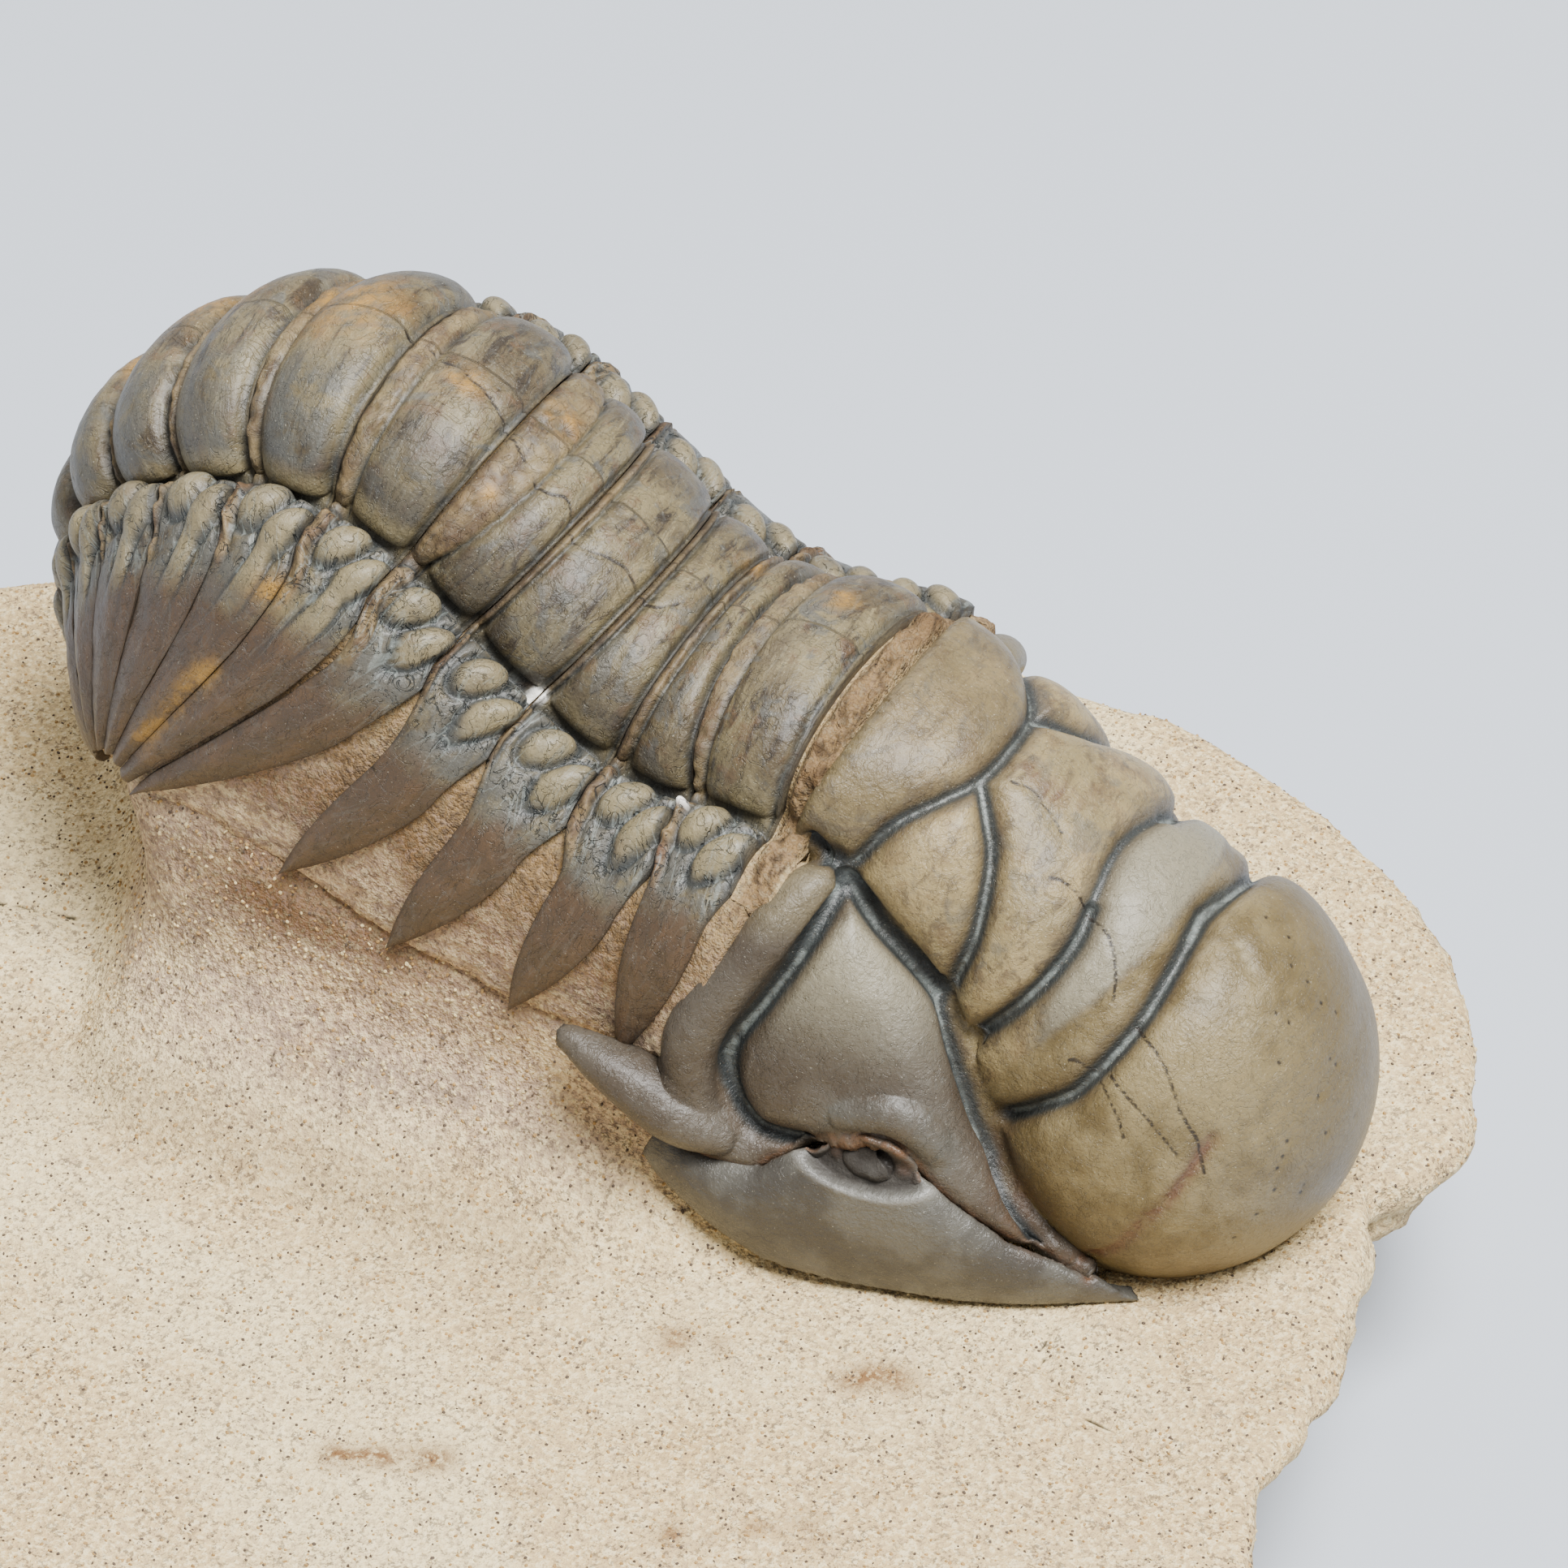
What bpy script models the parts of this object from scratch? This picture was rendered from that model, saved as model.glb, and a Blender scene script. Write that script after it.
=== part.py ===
"""A trilobite fossil, arched on a pedestal of its own rock, built plate by plate.

Lengths are in millimetres in the animal's own frame and become metres when a mesh is made. The
animal faces +X, its plane of symmetry is y = 0 and +Z is up. Its right side is at -Y.
"""
import math

import bmesh
import bpy
import numpy as np

MM = 0.001
GAP = 0.3                       # between plates, and between a plate and the rock
PLATE = 1.8                     # greatest thickness of a plate of the back
PLATE_SHARE = 0.4               # and its thickness as a share of the axis's rise, where that is less
SLAB_TOP = -14.0
SLAB_THICKNESS = 15.0
SLAB_UNDERSIDE = SLAB_TOP - SLAB_THICKNESS
PLACE = np.array([8.0, 11.5, -SLAB_UNDERSIDE])   # animal frame to the middle of the slab's underside
SEGMENTS = 11

# One row for each station of the back: 0 is the occipital ring, 1 to 11 the thoracic segments,
# 12 and 13 the tail shield.
FURROW = np.array([(5.4, 4.6), (1.5, 4.9), (-2.2, 4.4), (-6.0, 5.3), (-9.2, 7.4), (-12.4, 9.8),
                   (-16.0, 12.1), (-20.4, 12.9), (-25.1, 11.6), (-29.2, 9.0), (-32.2, 5.9),
                   (-34.0, 2.4), (-34.8, -1.4), (-34.8, -5.0)])      # x and z of the axial furrow
AXIS_HALF_WIDTH = np.array([7.0, 6.8, 6.7, 6.6, 6.5, 6.4, 6.3, 6.1, 5.7, 5.2, 4.6, 4.0, 3.2, 2.2])
AXIS_RISE = np.array([4.6, 4.6, 4.5, 4.5, 4.6, 4.7, 4.8, 4.7, 4.2, 3.6, 3.0, 2.4, 2.0, 1.6])
PLEURA_WIDTH = np.array([4.0, 3.9, 3.9, 3.9, 3.9, 3.9, 3.8, 3.7, 3.6, 3.4, 3.2, 3.0, 2.8, 2.4])
SPINE_TIP = np.array([(3.5, 14.0, -4.8), (-0.7, 13.0, -5.9), (-6.1, 13.3, -5.5), (-12.3, 13.4, -4.6),
                      (-18.0, 13.2, -3.0), (-26.0, 12.9, -2.1), (-26.5, 12.7, -1.5),
                      (-27.1, 12.4, -1.2), (-27.8, 12.0, -1.3), (-28.5, 11.6, -1.8), (-29.1, 11.1, -2.4),
                      (-29.5, 10.5, -3.2), (-29.8, 9.9, -4.1), (-30.0, 9.3, -5.0)])
LAG = np.array([0.0, 0.04, 0.09, 0.15, 0.25, 0.27, 0.21, 0.15, 0.05, 0.0, 0.0, 0.0, 0.0, 0.0])
LAG_END = (1.8, 2.4)            # rings and pleurae sit this far behind their spines; across, where it fades
SPINE_BLADE = 3.4               # width of a free spine at its root
SPINE_THICKNESS = 0.5
FREE_SPINES = 5                 # segments whose spines stand apart; the rest lie side by side
SPINE_TIP_HALF_WIDTH = 0.25
SPINE_TAPER = 1.6               # power of the narrowing from root to tip
SPINE_LEAD = (2.0, 1.6)         # how far out and down a spine sets off from the fulcrum
SPINE_LAND = (0.35, 1.2)        # share of the way back from the tip, and how far out, it turns in
FULCRUM_DROP = 0.9
PLEURA_HUMP = 0.7               # height of the knobbed part between the furrow and the fulcrum
RING_SWELL = 0.5                # height of a ring's bulge above its edges
COURSE_STEP = 0.35              # stations either side that give the direction of the back
SPINE_END = 2.98                # where a plate's mesh stops, just short of the tip at 3

# Glabella sections from the occipital ring forward: furrow x, z, half width, crest x, z.
GLABELLA = np.array([(4.5, 4.6, 7.0, 6.5, 9.1), (8.2, 2.8, 7.0, 10.6, 7.7), (12.2, -0.4, 7.3, 14.8, 5.3),
                     (13.7, -2.6, 7.5, 18.8, 3.2), (14.9, -7.2, 7.7, 22.6, 0.9)])
FRONT_LOBE_CENTRE = np.array([19.6, 0.0, -7.8])
FRONT_LOBE_RADII = np.array([8.5, 9.0, 8.7])
FRONT_LOBE_FACES = (28, 16)
GLABELLA_STEPS = 8              # faces from the crest to the furrow
GLABELLA_FLOOR = ((1, 2.2), (0.5, 4.0), (-0.5, 4.0), (-1, 2.2))    # share of the width, depth
GLABELLA_LEAN = 0.7             # how far back the floor lies for its depth
FLOOR_INSET = 0.4
ARCH_FULLNESS = 0.85

# Right cheek, rear to front: by the axial furrow, on the cheek, along the facial suture, at the margin.
CHEEK = np.array([((5.2, -7.0, 4.3), (4.0, -10.0, 2.4), (1.2, -13.2, -4.2), (-1.2, -14.3, -7.8)),
                  ((7.5, -7.0, 3.0), (6.4, -10.0, 1.2), (4.2, -13.0, -6.3), (3.0, -14.7, -11.3)),
                  ((10.2, -7.2, 1.0), (9.6, -10.2, -0.8), (8.6, -12.8, -7.3), (7.5, -14.6, -13.2)),
                  ((12.4, -7.4, -1.4), (12.2, -10.3, -3.2), (12.6, -12.2, -8.0), (12.6, -13.3, -13.6)),
                  ((14.2, -7.6, -5.0), (14.6, -9.6, -6.5), (16.5, -10.6, -9.4), (17.6, -11.2, -13.8)),
                  ((15.8, -7.3, -9.4), (17.8, -8.1, -10.9), (20.2, -8.7, -12.2), (22.6, -7.9, -14.0))])
CHEEK_STEPS = 2
CHEEK_THICKNESS = 1.6
CHEEK_FRONT_THICKNESS = 0.7
GENAL_SPINE = np.array([(2.2, -13.2, -4.6), (-0.2, -14.2, -4.4), (-2.8, -14.6, -4.0)])
GENAL_RADII = (1.5, 1.0, 0.35)
GENAL_FLATNESS = 0.7
GENAL_FACES = 8
FREE_CHEEK_SWELL = 0.8

# Slab seen from above, with how far the underside is set in below each corner.
SLAB_OUTLINE = np.array([
    (-52.0, -2.0, 7), (-50.5, 5.0, 7), (-46.0, 9.6, 7), (-39.0, 17.0, 7), (-30.0, 22.6, 7),
    (-19.0, 25.2, 7), (-8.0, 26.4, 8), (1.5, 26.6, 8), (7.4, 27.0, 9), (12.3, 25.8, 10),
    (18.5, 23.4, 11), (24.8, 18.6, 12), (28.8, 13.5, 13), (30.5, 9.1, 13), (30.3, 5.5, 13),
    (28.9, 3.4, 13), (30.2, -0.5, 13), (31.4, -6.0, 14), (32.4, -11.0, 14), (32.2, -15.0, 14),
    (34.6, -19.5, 14), (36.0, -25.5, 13), (34.5, -32.0, 11), (29.0, -38.0, 9), (20.0, -43.0, 8),
    (9.0, -47.5, 8), (-3.0, -50.0, 7), (-15.0, -49.5, 7), (-26.0, -43.5, 7), (-36.0, -35.0, 7),
    (-44.0, -24.0, 7), (-50.0, -13.0, 7)])
SLAB_MIDDLE = np.array([-8.0, -11.5])
SLAB_LEVELS = ((SLAB_TOP, 0.04), (SLAB_TOP - 1.2, 0.0), (SLAB_TOP - 6.0, 0.35),
               (SLAB_UNDERSIDE + 1.0, 0.92), (SLAB_UNDERSIDE, 1.0))    # height, share of the inset

# Pedestal sections along x: height of the top, half width at the top, at the waist and at the foot.
PEDESTAL = np.array([
    (-36.5, -13.6, 5.0, 9.0, 12.0), (-33.0, -12.2, 6.0, 10.5, 15.0), (-30.6, -9.6, 6.5, 10.5, 18.0),
    (-29.2, -8.0, 7.0, 11.0, 20.0), (-27.4, -4.6, 9.0, 12.0, 21.5), (-24.0, -2.6, 10.5, 13.4, 22.2),
    (-18.0, -3.4, 11.4, 14.4, 22.5), (-12.0, -4.0, 11.6, 14.2, 21.6), (-6.0, -4.4, 11.6, 13.6, 20.6),
    (-0.5, -4.8, 11.4, 13.4, 19.0), (2.4, -5.6, 10.6, 13.0, 17.0), (6.0, -7.6, 10.4, 12.2, 14.6),
    (9.5, -9.6, 10.2, 11.4, 12.6), (13.0, -11.6, 9.0, 9.8, 10.6), (16.0, -13.2, 7.0, 7.6, 8.2)])
PEDESTAL_CROWN = (0.7, 2.8)     # share of the top's half width, and height above it
PEDESTAL_CROWN_RUN = 6.0        # height over which the crown rises to its full height
PEDESTAL_WAIST = -8.5
PEDESTAL_FLARE = (0.35, 0.55)   # how far up towards the waist, and how far in, the foot starts to flare
PEDESTAL_TOE = 0.2              # depth of the foot's edge below the slab's top
PEDESTAL_ROOT = SLAB_TOP - 2.0
CORE_START, CORE_END, CORE_STATIONS = 0.6, 12.4, 25
CORE_REACH = 2.6
CORE_SAG = 1.5                  # depth of the core's underside below its outer edges
CORE_GAP = 0.5                  # a little more than GAP, because both shapes are coarse


def along(table, station):
    """Catmull-Rom reading of a table at a station that need not be whole."""
    station = min(max(station, 0.0), len(table) - 1.0)
    row = min(int(station), len(table) - 2)
    part = station - row
    before, here, after, beyond = (table[min(max(row + k, 0), len(table) - 1)] for k in (-1, 0, 1, 2))
    slope = after - before
    bend = 2 * before - 5 * here + 4 * after - beyond
    twist = 3 * here - before - 3 * after + beyond
    return 0.5 * (2 * here + slope * part + bend * part ** 2 + twist * part ** 3)


def between(table, station):
    """Straight-line reading of a table, where the steps are too uneven for a smooth curve."""
    station = min(max(station, 0.0), len(table) - 1.0)
    row = min(int(station), len(table) - 2)
    return table[row] + (table[row + 1] - table[row]) * (station - row)


def plate_depth(station, spine):
    """Thickness of a plate, less at the tail and along a free spine (0 at its root, 1 at its tip)."""
    depth = min(PLATE, PLATE_SHARE * along(AXIS_RISE, station))
    return depth + (SPINE_THICKNESS - depth) * min(1.4 * spine, 1.0)


def unit(vector):
    return vector / np.linalg.norm(vector)


def unit_rows(vectors):
    return vectors / np.linalg.norm(vectors, axis=-1, keepdims=True)


def back_point(station, across):
    """Point and outward normal on the back: across is 0 at the crest, 1 at the axial furrow,
    2 at the fulcrum and 3 at the spine's tip, and its sign is the side."""
    side = -1.0 if across < 0 else 1.0
    reach = abs(across)
    fade = min(max((LAG_END[1] - reach) / (LAG_END[1] - LAG_END[0]), 0.0), 1.0)
    station += along(LAG, station) * fade
    ahead, behind = along(FURROW, station - COURSE_STEP), along(FURROW, station + COURSE_STEP)
    run = unit(np.array([behind[0] - ahead[0], 0.0, behind[1] - ahead[1]]))
    up = np.array([run[2], 0.0, -run[0]])
    out = np.array([0.0, 1.0, 0.0])
    furrow_x, furrow_z = along(FURROW, station)
    root = np.array([furrow_x, 0.0, furrow_z])
    half, rise = along(AXIS_HALF_WIDTH, station), along(AXIS_RISE, station)
    pleura, tip = along(PLEURA_WIDTH, station), between(SPINE_TIP, station)
    if reach <= 1:
        angle = reach * math.pi / 2
        point = root + out * half * math.sin(angle) + up * rise * max(math.cos(angle), 0) ** ARCH_FULLNESS
        normal = unit(out * math.sin(angle) / half + up * math.cos(angle) / rise)
    elif reach <= 2:
        part = reach - 1
        hump = PLEURA_HUMP * math.sin(math.pi * part) - FULCRUM_DROP * part
        point = root + out * (half + pleura * part) + up * hump
        normal = unit(up + out * 0.3 * part)
    else:
        part = reach - 2
        start = root + out * (half + pleura) - up * FULCRUM_DROP
        lead = start + out * SPINE_LEAD[0] - up * SPINE_LEAD[1]
        land = tip + (start - tip) * SPINE_LAND[0] + out * SPINE_LAND[1]
        point = ((1 - part) ** 3 * start + 3 * (1 - part) ** 2 * part * lead
                 + 3 * (1 - part) * part ** 2 * land + part ** 3 * tip)
        course = ((1 - part) ** 2 * (lead - start) + 2 * (1 - part) * part * (land - lead)
                  + part ** 2 * (tip - land))
        normal = unit(np.cross(course, run))
    flip = np.array([1.0, side, 1.0])
    return point * flip, normal * flip


def across_steps(reach, ring=6, pleura=3, spine=5):
    """Values of across from the left tip to the right tip, or as far out as reach."""
    half = [k / ring for k in range(ring)] + [1 + k / pleura for k in range(pleura)]
    half += [2 + (reach - 2) * k / spine for k in range(spine + 1)]
    return [-value for value in reversed(half[1:])] + half


def new_object(name, bm):
    bmesh.ops.triangulate(bm, faces=bm.faces)
    bmesh.ops.recalc_face_normals(bm, faces=bm.faces)
    mesh = bpy.data.meshes.new(name)
    bm.to_mesh(mesh)
    bm.free()
    obj = bpy.data.objects.new(name, mesh)
    bpy.context.scene.collection.objects.link(obj)
    return obj


def loft(name, rings):
    """Closed solid through rings of points given in millimetres, with flat ends."""
    bm = bmesh.new()
    loops = [[bm.verts.new((point + PLACE) * MM) for point in ring] for ring in rings]
    for first, second in zip(loops, loops[1:]):
        for k in range(len(first)):
            after = (k + 1) % len(first)
            bm.faces.new((first[k], first[after], second[after], second[k]))
    bm.faces.new(loops[0])
    bm.faces.new(loops[-1])
    return new_object(name, bm)


def plate_ring(front, rear, across):
    """Section of a plate of the back between two stations, at one place across it. Out along a
    spine that stands free it turns square to the spine's own course."""
    middle = 0.5 * (front + rear)
    spine = max(abs(across) - 2.0, 0.0)
    blade = min(3.0 * spine, 1.0)
    wanted = 0.5 * SPINE_BLADE * (1.0 - spine ** SPINE_TAPER) + SPINE_TIP_HALF_WIDTH
    depth = plate_depth(middle, spine)
    centre, level = back_point(middle, across)
    limits = [back_point(station, across)[0] for station in (front, rear)]
    free = spine > 0 and middle <= FREE_SPINES
    if free:
        course = back_point(middle, across * 1.005)[0] - centre
        width = unit(np.cross(course, level))
        width *= np.sign(width @ (limits[1] - limits[0]))
    sections = [(centre, level, RING_SWELL * (1.0 - spine))]
    for limit, station, place, step in ((limits[0], front, 0, -1), (limits[1], rear, 2, 1)):
        reach = np.linalg.norm(limit - centre)
        inside = 1.0 - 0.5 * GAP / reach
        point, normal = back_point(middle + (station - middle) * inside, across)
        if free:
            half = max(min(abs((limit - centre) @ width) - 0.5 * GAP, wanted), 0.1)
            point = point * (1.0 - blade) + (centre + width * step * half) * blade
            normal = unit(normal * (1.0 - blade) + level * blade)
        sections.insert(place, (point, normal, 0.0))
    top = [point + normal * lift for point, normal, lift in sections]
    bottom = [point - normal * depth for point, normal, lift in sections]
    return top + bottom[::-1]


def back_plate(name, front, rear):
    """Plate of the back from spine tip to spine tip."""
    return loft(name, [plate_ring(front, rear, across) for across in across_steps(SPINE_END)])


def glabella(name, grow=0.0):
    """Lobed middle of the head behind the front lobe, solid down to its furrows."""
    rings = []
    for k in range(2 * (len(GLABELLA) - 1) + 1):
        furrow_x, furrow_z, half, crest_x, crest_z = along(GLABELLA, k / 2)
        start = grow * (1 if k == 0 else 0)
        ring = []
        for j in range(-GLABELLA_STEPS, GLABELLA_STEPS + 1):
            angle = 0.5 * math.pi * j / GLABELLA_STEPS
            height = max(math.cos(angle), 0.0) ** ARCH_FULLNESS
            ring.append(np.array([furrow_x + (crest_x - furrow_x) * height - start + grow * 0.5 * height,
                                  (half + grow) * math.sin(angle),
                                  furrow_z + (crest_z - furrow_z + grow) * height]))
        for share, depth in GLABELLA_FLOOR:
            ring.append(np.array([furrow_x - start - GLABELLA_LEAN * depth,
                                  share * (half + grow - FLOOR_INSET), furrow_z - depth - grow]))
        rings.append(ring)
    return loft(name, rings)


def front_lobe(name, grow=0.0):
    """Swollen front lobe of the glabella."""
    bm = bmesh.new()
    around, down = FRONT_LOBE_FACES
    bmesh.ops.create_uvsphere(bm, u_segments=around, v_segments=down, radius=1.0)
    for vert in bm.verts:
        place = np.array(vert.co) * (FRONT_LOBE_RADII + grow) + FRONT_LOBE_CENTRE + PLACE
        vert.co = place * MM
    return new_object(name, bm)


def cheek_grid(first, last):
    """Finer points on the right cheek between two of the table's columns."""
    rows = (len(CHEEK) - 1) * CHEEK_STEPS + 1
    columns = (last - first) * CHEEK_STEPS + 1
    lines = [along(CHEEK, row / CHEEK_STEPS) for row in range(rows)]
    return [[along(line, first + column / CHEEK_STEPS) for column in range(columns)] for line in lines]


def cheek_plate(name, first, last, side, grow=0.0, swell=0.0):
    """Curved plate over part of a cheek; side is 1 for the right and -1 for the left."""
    grid = np.array(cheek_grid(first, last))
    down_rows, down_columns = np.gradient(grid, axis=0), np.gradient(grid, axis=1)
    normal = np.cross(down_columns, down_rows)
    normal /= np.linalg.norm(normal, axis=2, keepdims=True)
    if normal[0, 0, 2] < 0:
        normal = -normal
    hump = np.sin(np.linspace(0.0, math.pi, grid.shape[1]))[None, :, None] * swell
    outward = unit_rows(np.gradient(grid, axis=1)) * np.linspace(-1.0, 1.0, grid.shape[1])[None, :, None]
    endward = unit_rows(np.gradient(grid, axis=0)) * np.linspace(-1.0, 1.0, grid.shape[0])[:, None, None]
    spread = grid + (outward + endward) * grow
    depth = np.linspace(CHEEK_THICKNESS, CHEEK_FRONT_THICKNESS, grid.shape[0])[:, None, None]
    top = spread + normal * (hump + grow)
    bottom = spread - normal * (depth + grow)
    flip = np.array([1.0, side, 1.0])
    rings = [list(top[row] * flip) + list(bottom[row][::-1] * flip) for row in range(grid.shape[0])]
    return loft(name, rings)


def genal_spine(name, side, grow=0.0):
    """Spine at the rear corner of the head."""
    flip = np.array([1.0, side, 1.0])
    course = unit(GENAL_SPINE[-1] - GENAL_SPINE[0])
    level = unit(np.cross(course, (0.0, 1.0, 0.0)))
    aside = np.cross(level, course)
    rings = []
    for k, (centre, radius) in enumerate(zip(GENAL_SPINE, GENAL_RADII)):
        shift = course * grow * (k - 1)
        turn = [2 * math.pi * j / GENAL_FACES for j in range(GENAL_FACES)]
        rings.append([(centre + shift + (radius + grow)
                       * (level * math.cos(a) + aside * math.sin(a) * GENAL_FLATNESS)) * flip for a in turn])
    return loft(name, rings)


def slab(name):
    """Broken slab, wider above than below, with a flat underside."""
    rings = []
    for height, share in SLAB_LEVELS:
        ring = []
        for x, y, inset in SLAB_OUTLINE:
            corner = np.array([x, y])
            reach = np.linalg.norm(corner - SLAB_MIDDLE)
            spot = corner + (SLAB_MIDDLE - corner) * inset * share / reach
            ring.append(np.array([spot[0], spot[1], height]))
        rings.append(ring)
    return loft(name, rings)


def pedestal(name):
    """Ridge of rock that carries the raised body, with a narrow rear end."""
    rings = []
    crown_share, crown_height = PEDESTAL_CROWN
    flare_up, flare_in = PEDESTAL_FLARE
    for x, top, half_top, half_waist, half_foot in PEDESTAL:
        waist = min(PEDESTAL_WAIST, 0.5 * (top + SLAB_TOP))
        rise = min(1.0, (top - SLAB_TOP) / PEDESTAL_CROWN_RUN)
        flare = (flare_in * half_waist + (1 - flare_in) * half_foot,
                 flare_up * waist + (1 - flare_up) * SLAB_TOP)
        side = [(crown_share * half_top, top + crown_height * rise), (half_top, top), (half_waist, waist),
                flare, (half_foot, SLAB_TOP - PEDESTAL_TOE), (half_foot, PEDESTAL_ROOT)]
        ring = [np.array([x, y, z]) for y, z in side]
        ring += [np.array([x, -y, z]) for y, z in reversed(side)]
        rings.append(ring)
    return loft(name, rings)


def core(name):
    """Rock that fills the body, just clear of the plates."""
    rings = []
    for k in range(CORE_STATIONS):
        station = CORE_START + k * (CORE_END - CORE_START) / (CORE_STATIONS - 1)
        ring = []
        for across in across_steps(CORE_REACH, ring=4, pleura=2, spine=3):
            point, normal = back_point(station, across)
            ring.append(point - normal * (plate_depth(station, max(abs(across) - 2, 0)) + CORE_GAP))
        sag = np.array([0.0, 0.0, -CORE_SAG])
        inner = [ring[-1] * np.array([1, share, 1]) + sag for share in (0.5, 0.0, -0.5)]
        rings.append(ring + inner)
    return loft(name, rings)


def helper(obj):
    """Marks a shape that only cuts or joins another."""
    obj.hide_render = True
    obj.display_type = "WIRE"
    return obj


def combine(obj, other, operation):
    step = obj.modifiers.new(operation.lower(), "BOOLEAN")
    step.operation = operation
    step.solver = "EXACT"
    step.object = helper(other)


def finish(obj, colour, roughness):
    material = bpy.data.materials.new(obj.name)
    material.use_nodes = True
    shader = material.node_tree.nodes["Principled BSDF"]
    shader.inputs["Base Color"].default_value = (*colour, 1.0)
    shader.inputs["Roughness"].default_value = roughness
    shader.inputs["Metallic"].default_value = 0.0
    obj.data.materials.append(material)
    obj.data.shade_smooth()
    obj.data.set_sharp_from_angle(angle=math.radians(35))


SIDES = (("right", 1.0), ("left", -1.0))
LIMESTONE = (0.66, 0.56, 0.42)
OLIVE_PLATE = (0.20, 0.17, 0.11)
DARK_PLATE = (0.09, 0.09, 0.085)


def build_head():
    """Cranidium and free cheeks; returns the swollen shapes that clear the rock for them."""
    cranidium = glabella("cranidium")
    combine(cranidium, front_lobe("join_front_lobe"), "UNION")
    clear = [glabella("clear_glabella", GAP), front_lobe("clear_front_lobe", GAP)]
    for side_name, side in SIDES:
        combine(cranidium, cheek_plate(f"join_cheek_{side_name}", 0, 2, side), "UNION")
        combine(cranidium, genal_spine(f"join_genal_{side_name}", side), "UNION")
        clear.append(cheek_plate(f"clear_fixed_cheek_{side_name}", 0, 2, side, GAP))
        clear.append(genal_spine(f"clear_genal_{side_name}", side, GAP))
    finish(cranidium, OLIVE_PLATE, 0.4)
    fixed = list(clear)
    for side_name, side in SIDES:
        free_cheek = cheek_plate(f"free_cheek_{side_name}", 2, 3, side, swell=FREE_CHEEK_SWELL)
        for shape in fixed:
            combine(free_cheek, shape, "DIFFERENCE")
        clear.append(cheek_plate(f"clear_free_cheek_{side_name}", 2, 3, side, GAP, swell=FREE_CHEEK_SWELL))
        finish(free_cheek, DARK_PLATE, 0.35)
    return clear


def build_back():
    """Thoracic segments and tail shield, whose rear end curls under."""
    for number in range(1, SEGMENTS + 1):
        finish(back_plate(f"segment_{number:02d}", number - 0.5, number + 0.5), OLIVE_PLATE, 0.45)
    finish(back_plate("pygidium", SEGMENTS + 0.5, SEGMENTS + 1.95), OLIVE_PLATE, 0.45)


def build_matrix(clear):
    matrix = slab("matrix")
    combine(matrix, pedestal("join_pedestal"), "UNION")
    combine(matrix, core("join_core"), "UNION")
    for shape in clear:
        combine(matrix, shape, "DIFFERENCE")
    finish(matrix, LIMESTONE, 0.9)


def main():
    for obj in list(bpy.data.objects):
        bpy.data.objects.remove(obj, do_unlink=True)
    build_back()
    build_matrix(build_head())


main()
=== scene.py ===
"""Looks of a trilobite fossil, arched on a pedestal of its own limestone.

Every length in the modelling functions is in millimetres in the animal's own frame: the animal faces
+X, its plane of symmetry is y = 0, its right side is at -Y. build_mesh turns them into metres in the
row frame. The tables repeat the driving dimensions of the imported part.
"""
import math

import bmesh
import bpy
import numpy as np
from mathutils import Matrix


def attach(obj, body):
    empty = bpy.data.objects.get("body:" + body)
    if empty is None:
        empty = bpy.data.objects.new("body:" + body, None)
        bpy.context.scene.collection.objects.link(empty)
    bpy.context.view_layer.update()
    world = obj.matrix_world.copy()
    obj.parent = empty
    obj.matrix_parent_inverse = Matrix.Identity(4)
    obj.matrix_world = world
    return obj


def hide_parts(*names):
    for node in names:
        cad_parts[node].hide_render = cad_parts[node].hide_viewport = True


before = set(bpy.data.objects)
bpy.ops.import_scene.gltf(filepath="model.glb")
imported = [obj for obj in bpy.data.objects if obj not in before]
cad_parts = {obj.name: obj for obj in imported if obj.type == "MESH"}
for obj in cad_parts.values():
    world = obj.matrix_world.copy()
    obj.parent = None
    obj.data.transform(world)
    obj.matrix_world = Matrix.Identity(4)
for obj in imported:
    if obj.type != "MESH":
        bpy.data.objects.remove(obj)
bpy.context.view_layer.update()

bl_info = {
    "name": "Trilobite on its slab",
    "version": (1, 0, 0),
    "blender": (4, 5, 0),
    "location": "View3D > Sidebar > Trilobite",
    "description": "Builds the plates, the rock and the stage of an arched trilobite fossil",
    "category": "Add Mesh",
}

MM = 0.001
PLACE = np.array([8.0, 11.5, 29.0])     # animal frame to the row frame
SLAB_TOP = -14.0
SLAB_UNDERSIDE = -29.0
SEGMENTS = 11
MIRROR = np.array([1.0, -1.0, 1.0])
LINE_REACH = 3.0                # how far a drawn line is looked for

# One row for each station of the back: 0 is the occipital ring, 1 to 11 the thoracic segments,
# 12 and 13 the tail shield.
FURROW = np.array([(5.4, 4.6), (1.5, 4.9), (-2.2, 4.4), (-6.0, 5.3), (-9.2, 7.4), (-12.4, 9.8),
                   (-16.0, 12.1), (-20.4, 12.9), (-25.1, 11.6), (-29.2, 9.0), (-32.2, 5.9),
                   (-34.0, 2.4), (-34.8, -1.4), (-34.8, -5.0)])
AXIS_HALF_WIDTH = np.array([7.0, 6.8, 6.7, 6.6, 6.5, 6.4, 6.3, 6.1, 5.7, 5.2, 4.6, 4.0, 3.2, 2.2])
AXIS_RISE = np.array([4.6, 4.6, 4.5, 4.5, 4.6, 4.7, 4.8, 4.7, 4.2, 3.6, 3.0, 2.4, 2.0, 1.6])
PLEURA_WIDTH = np.array([4.0, 3.9, 3.9, 3.9, 3.9, 3.9, 3.8, 3.7, 3.6, 3.4, 3.2, 3.0, 2.8, 2.4])
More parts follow.
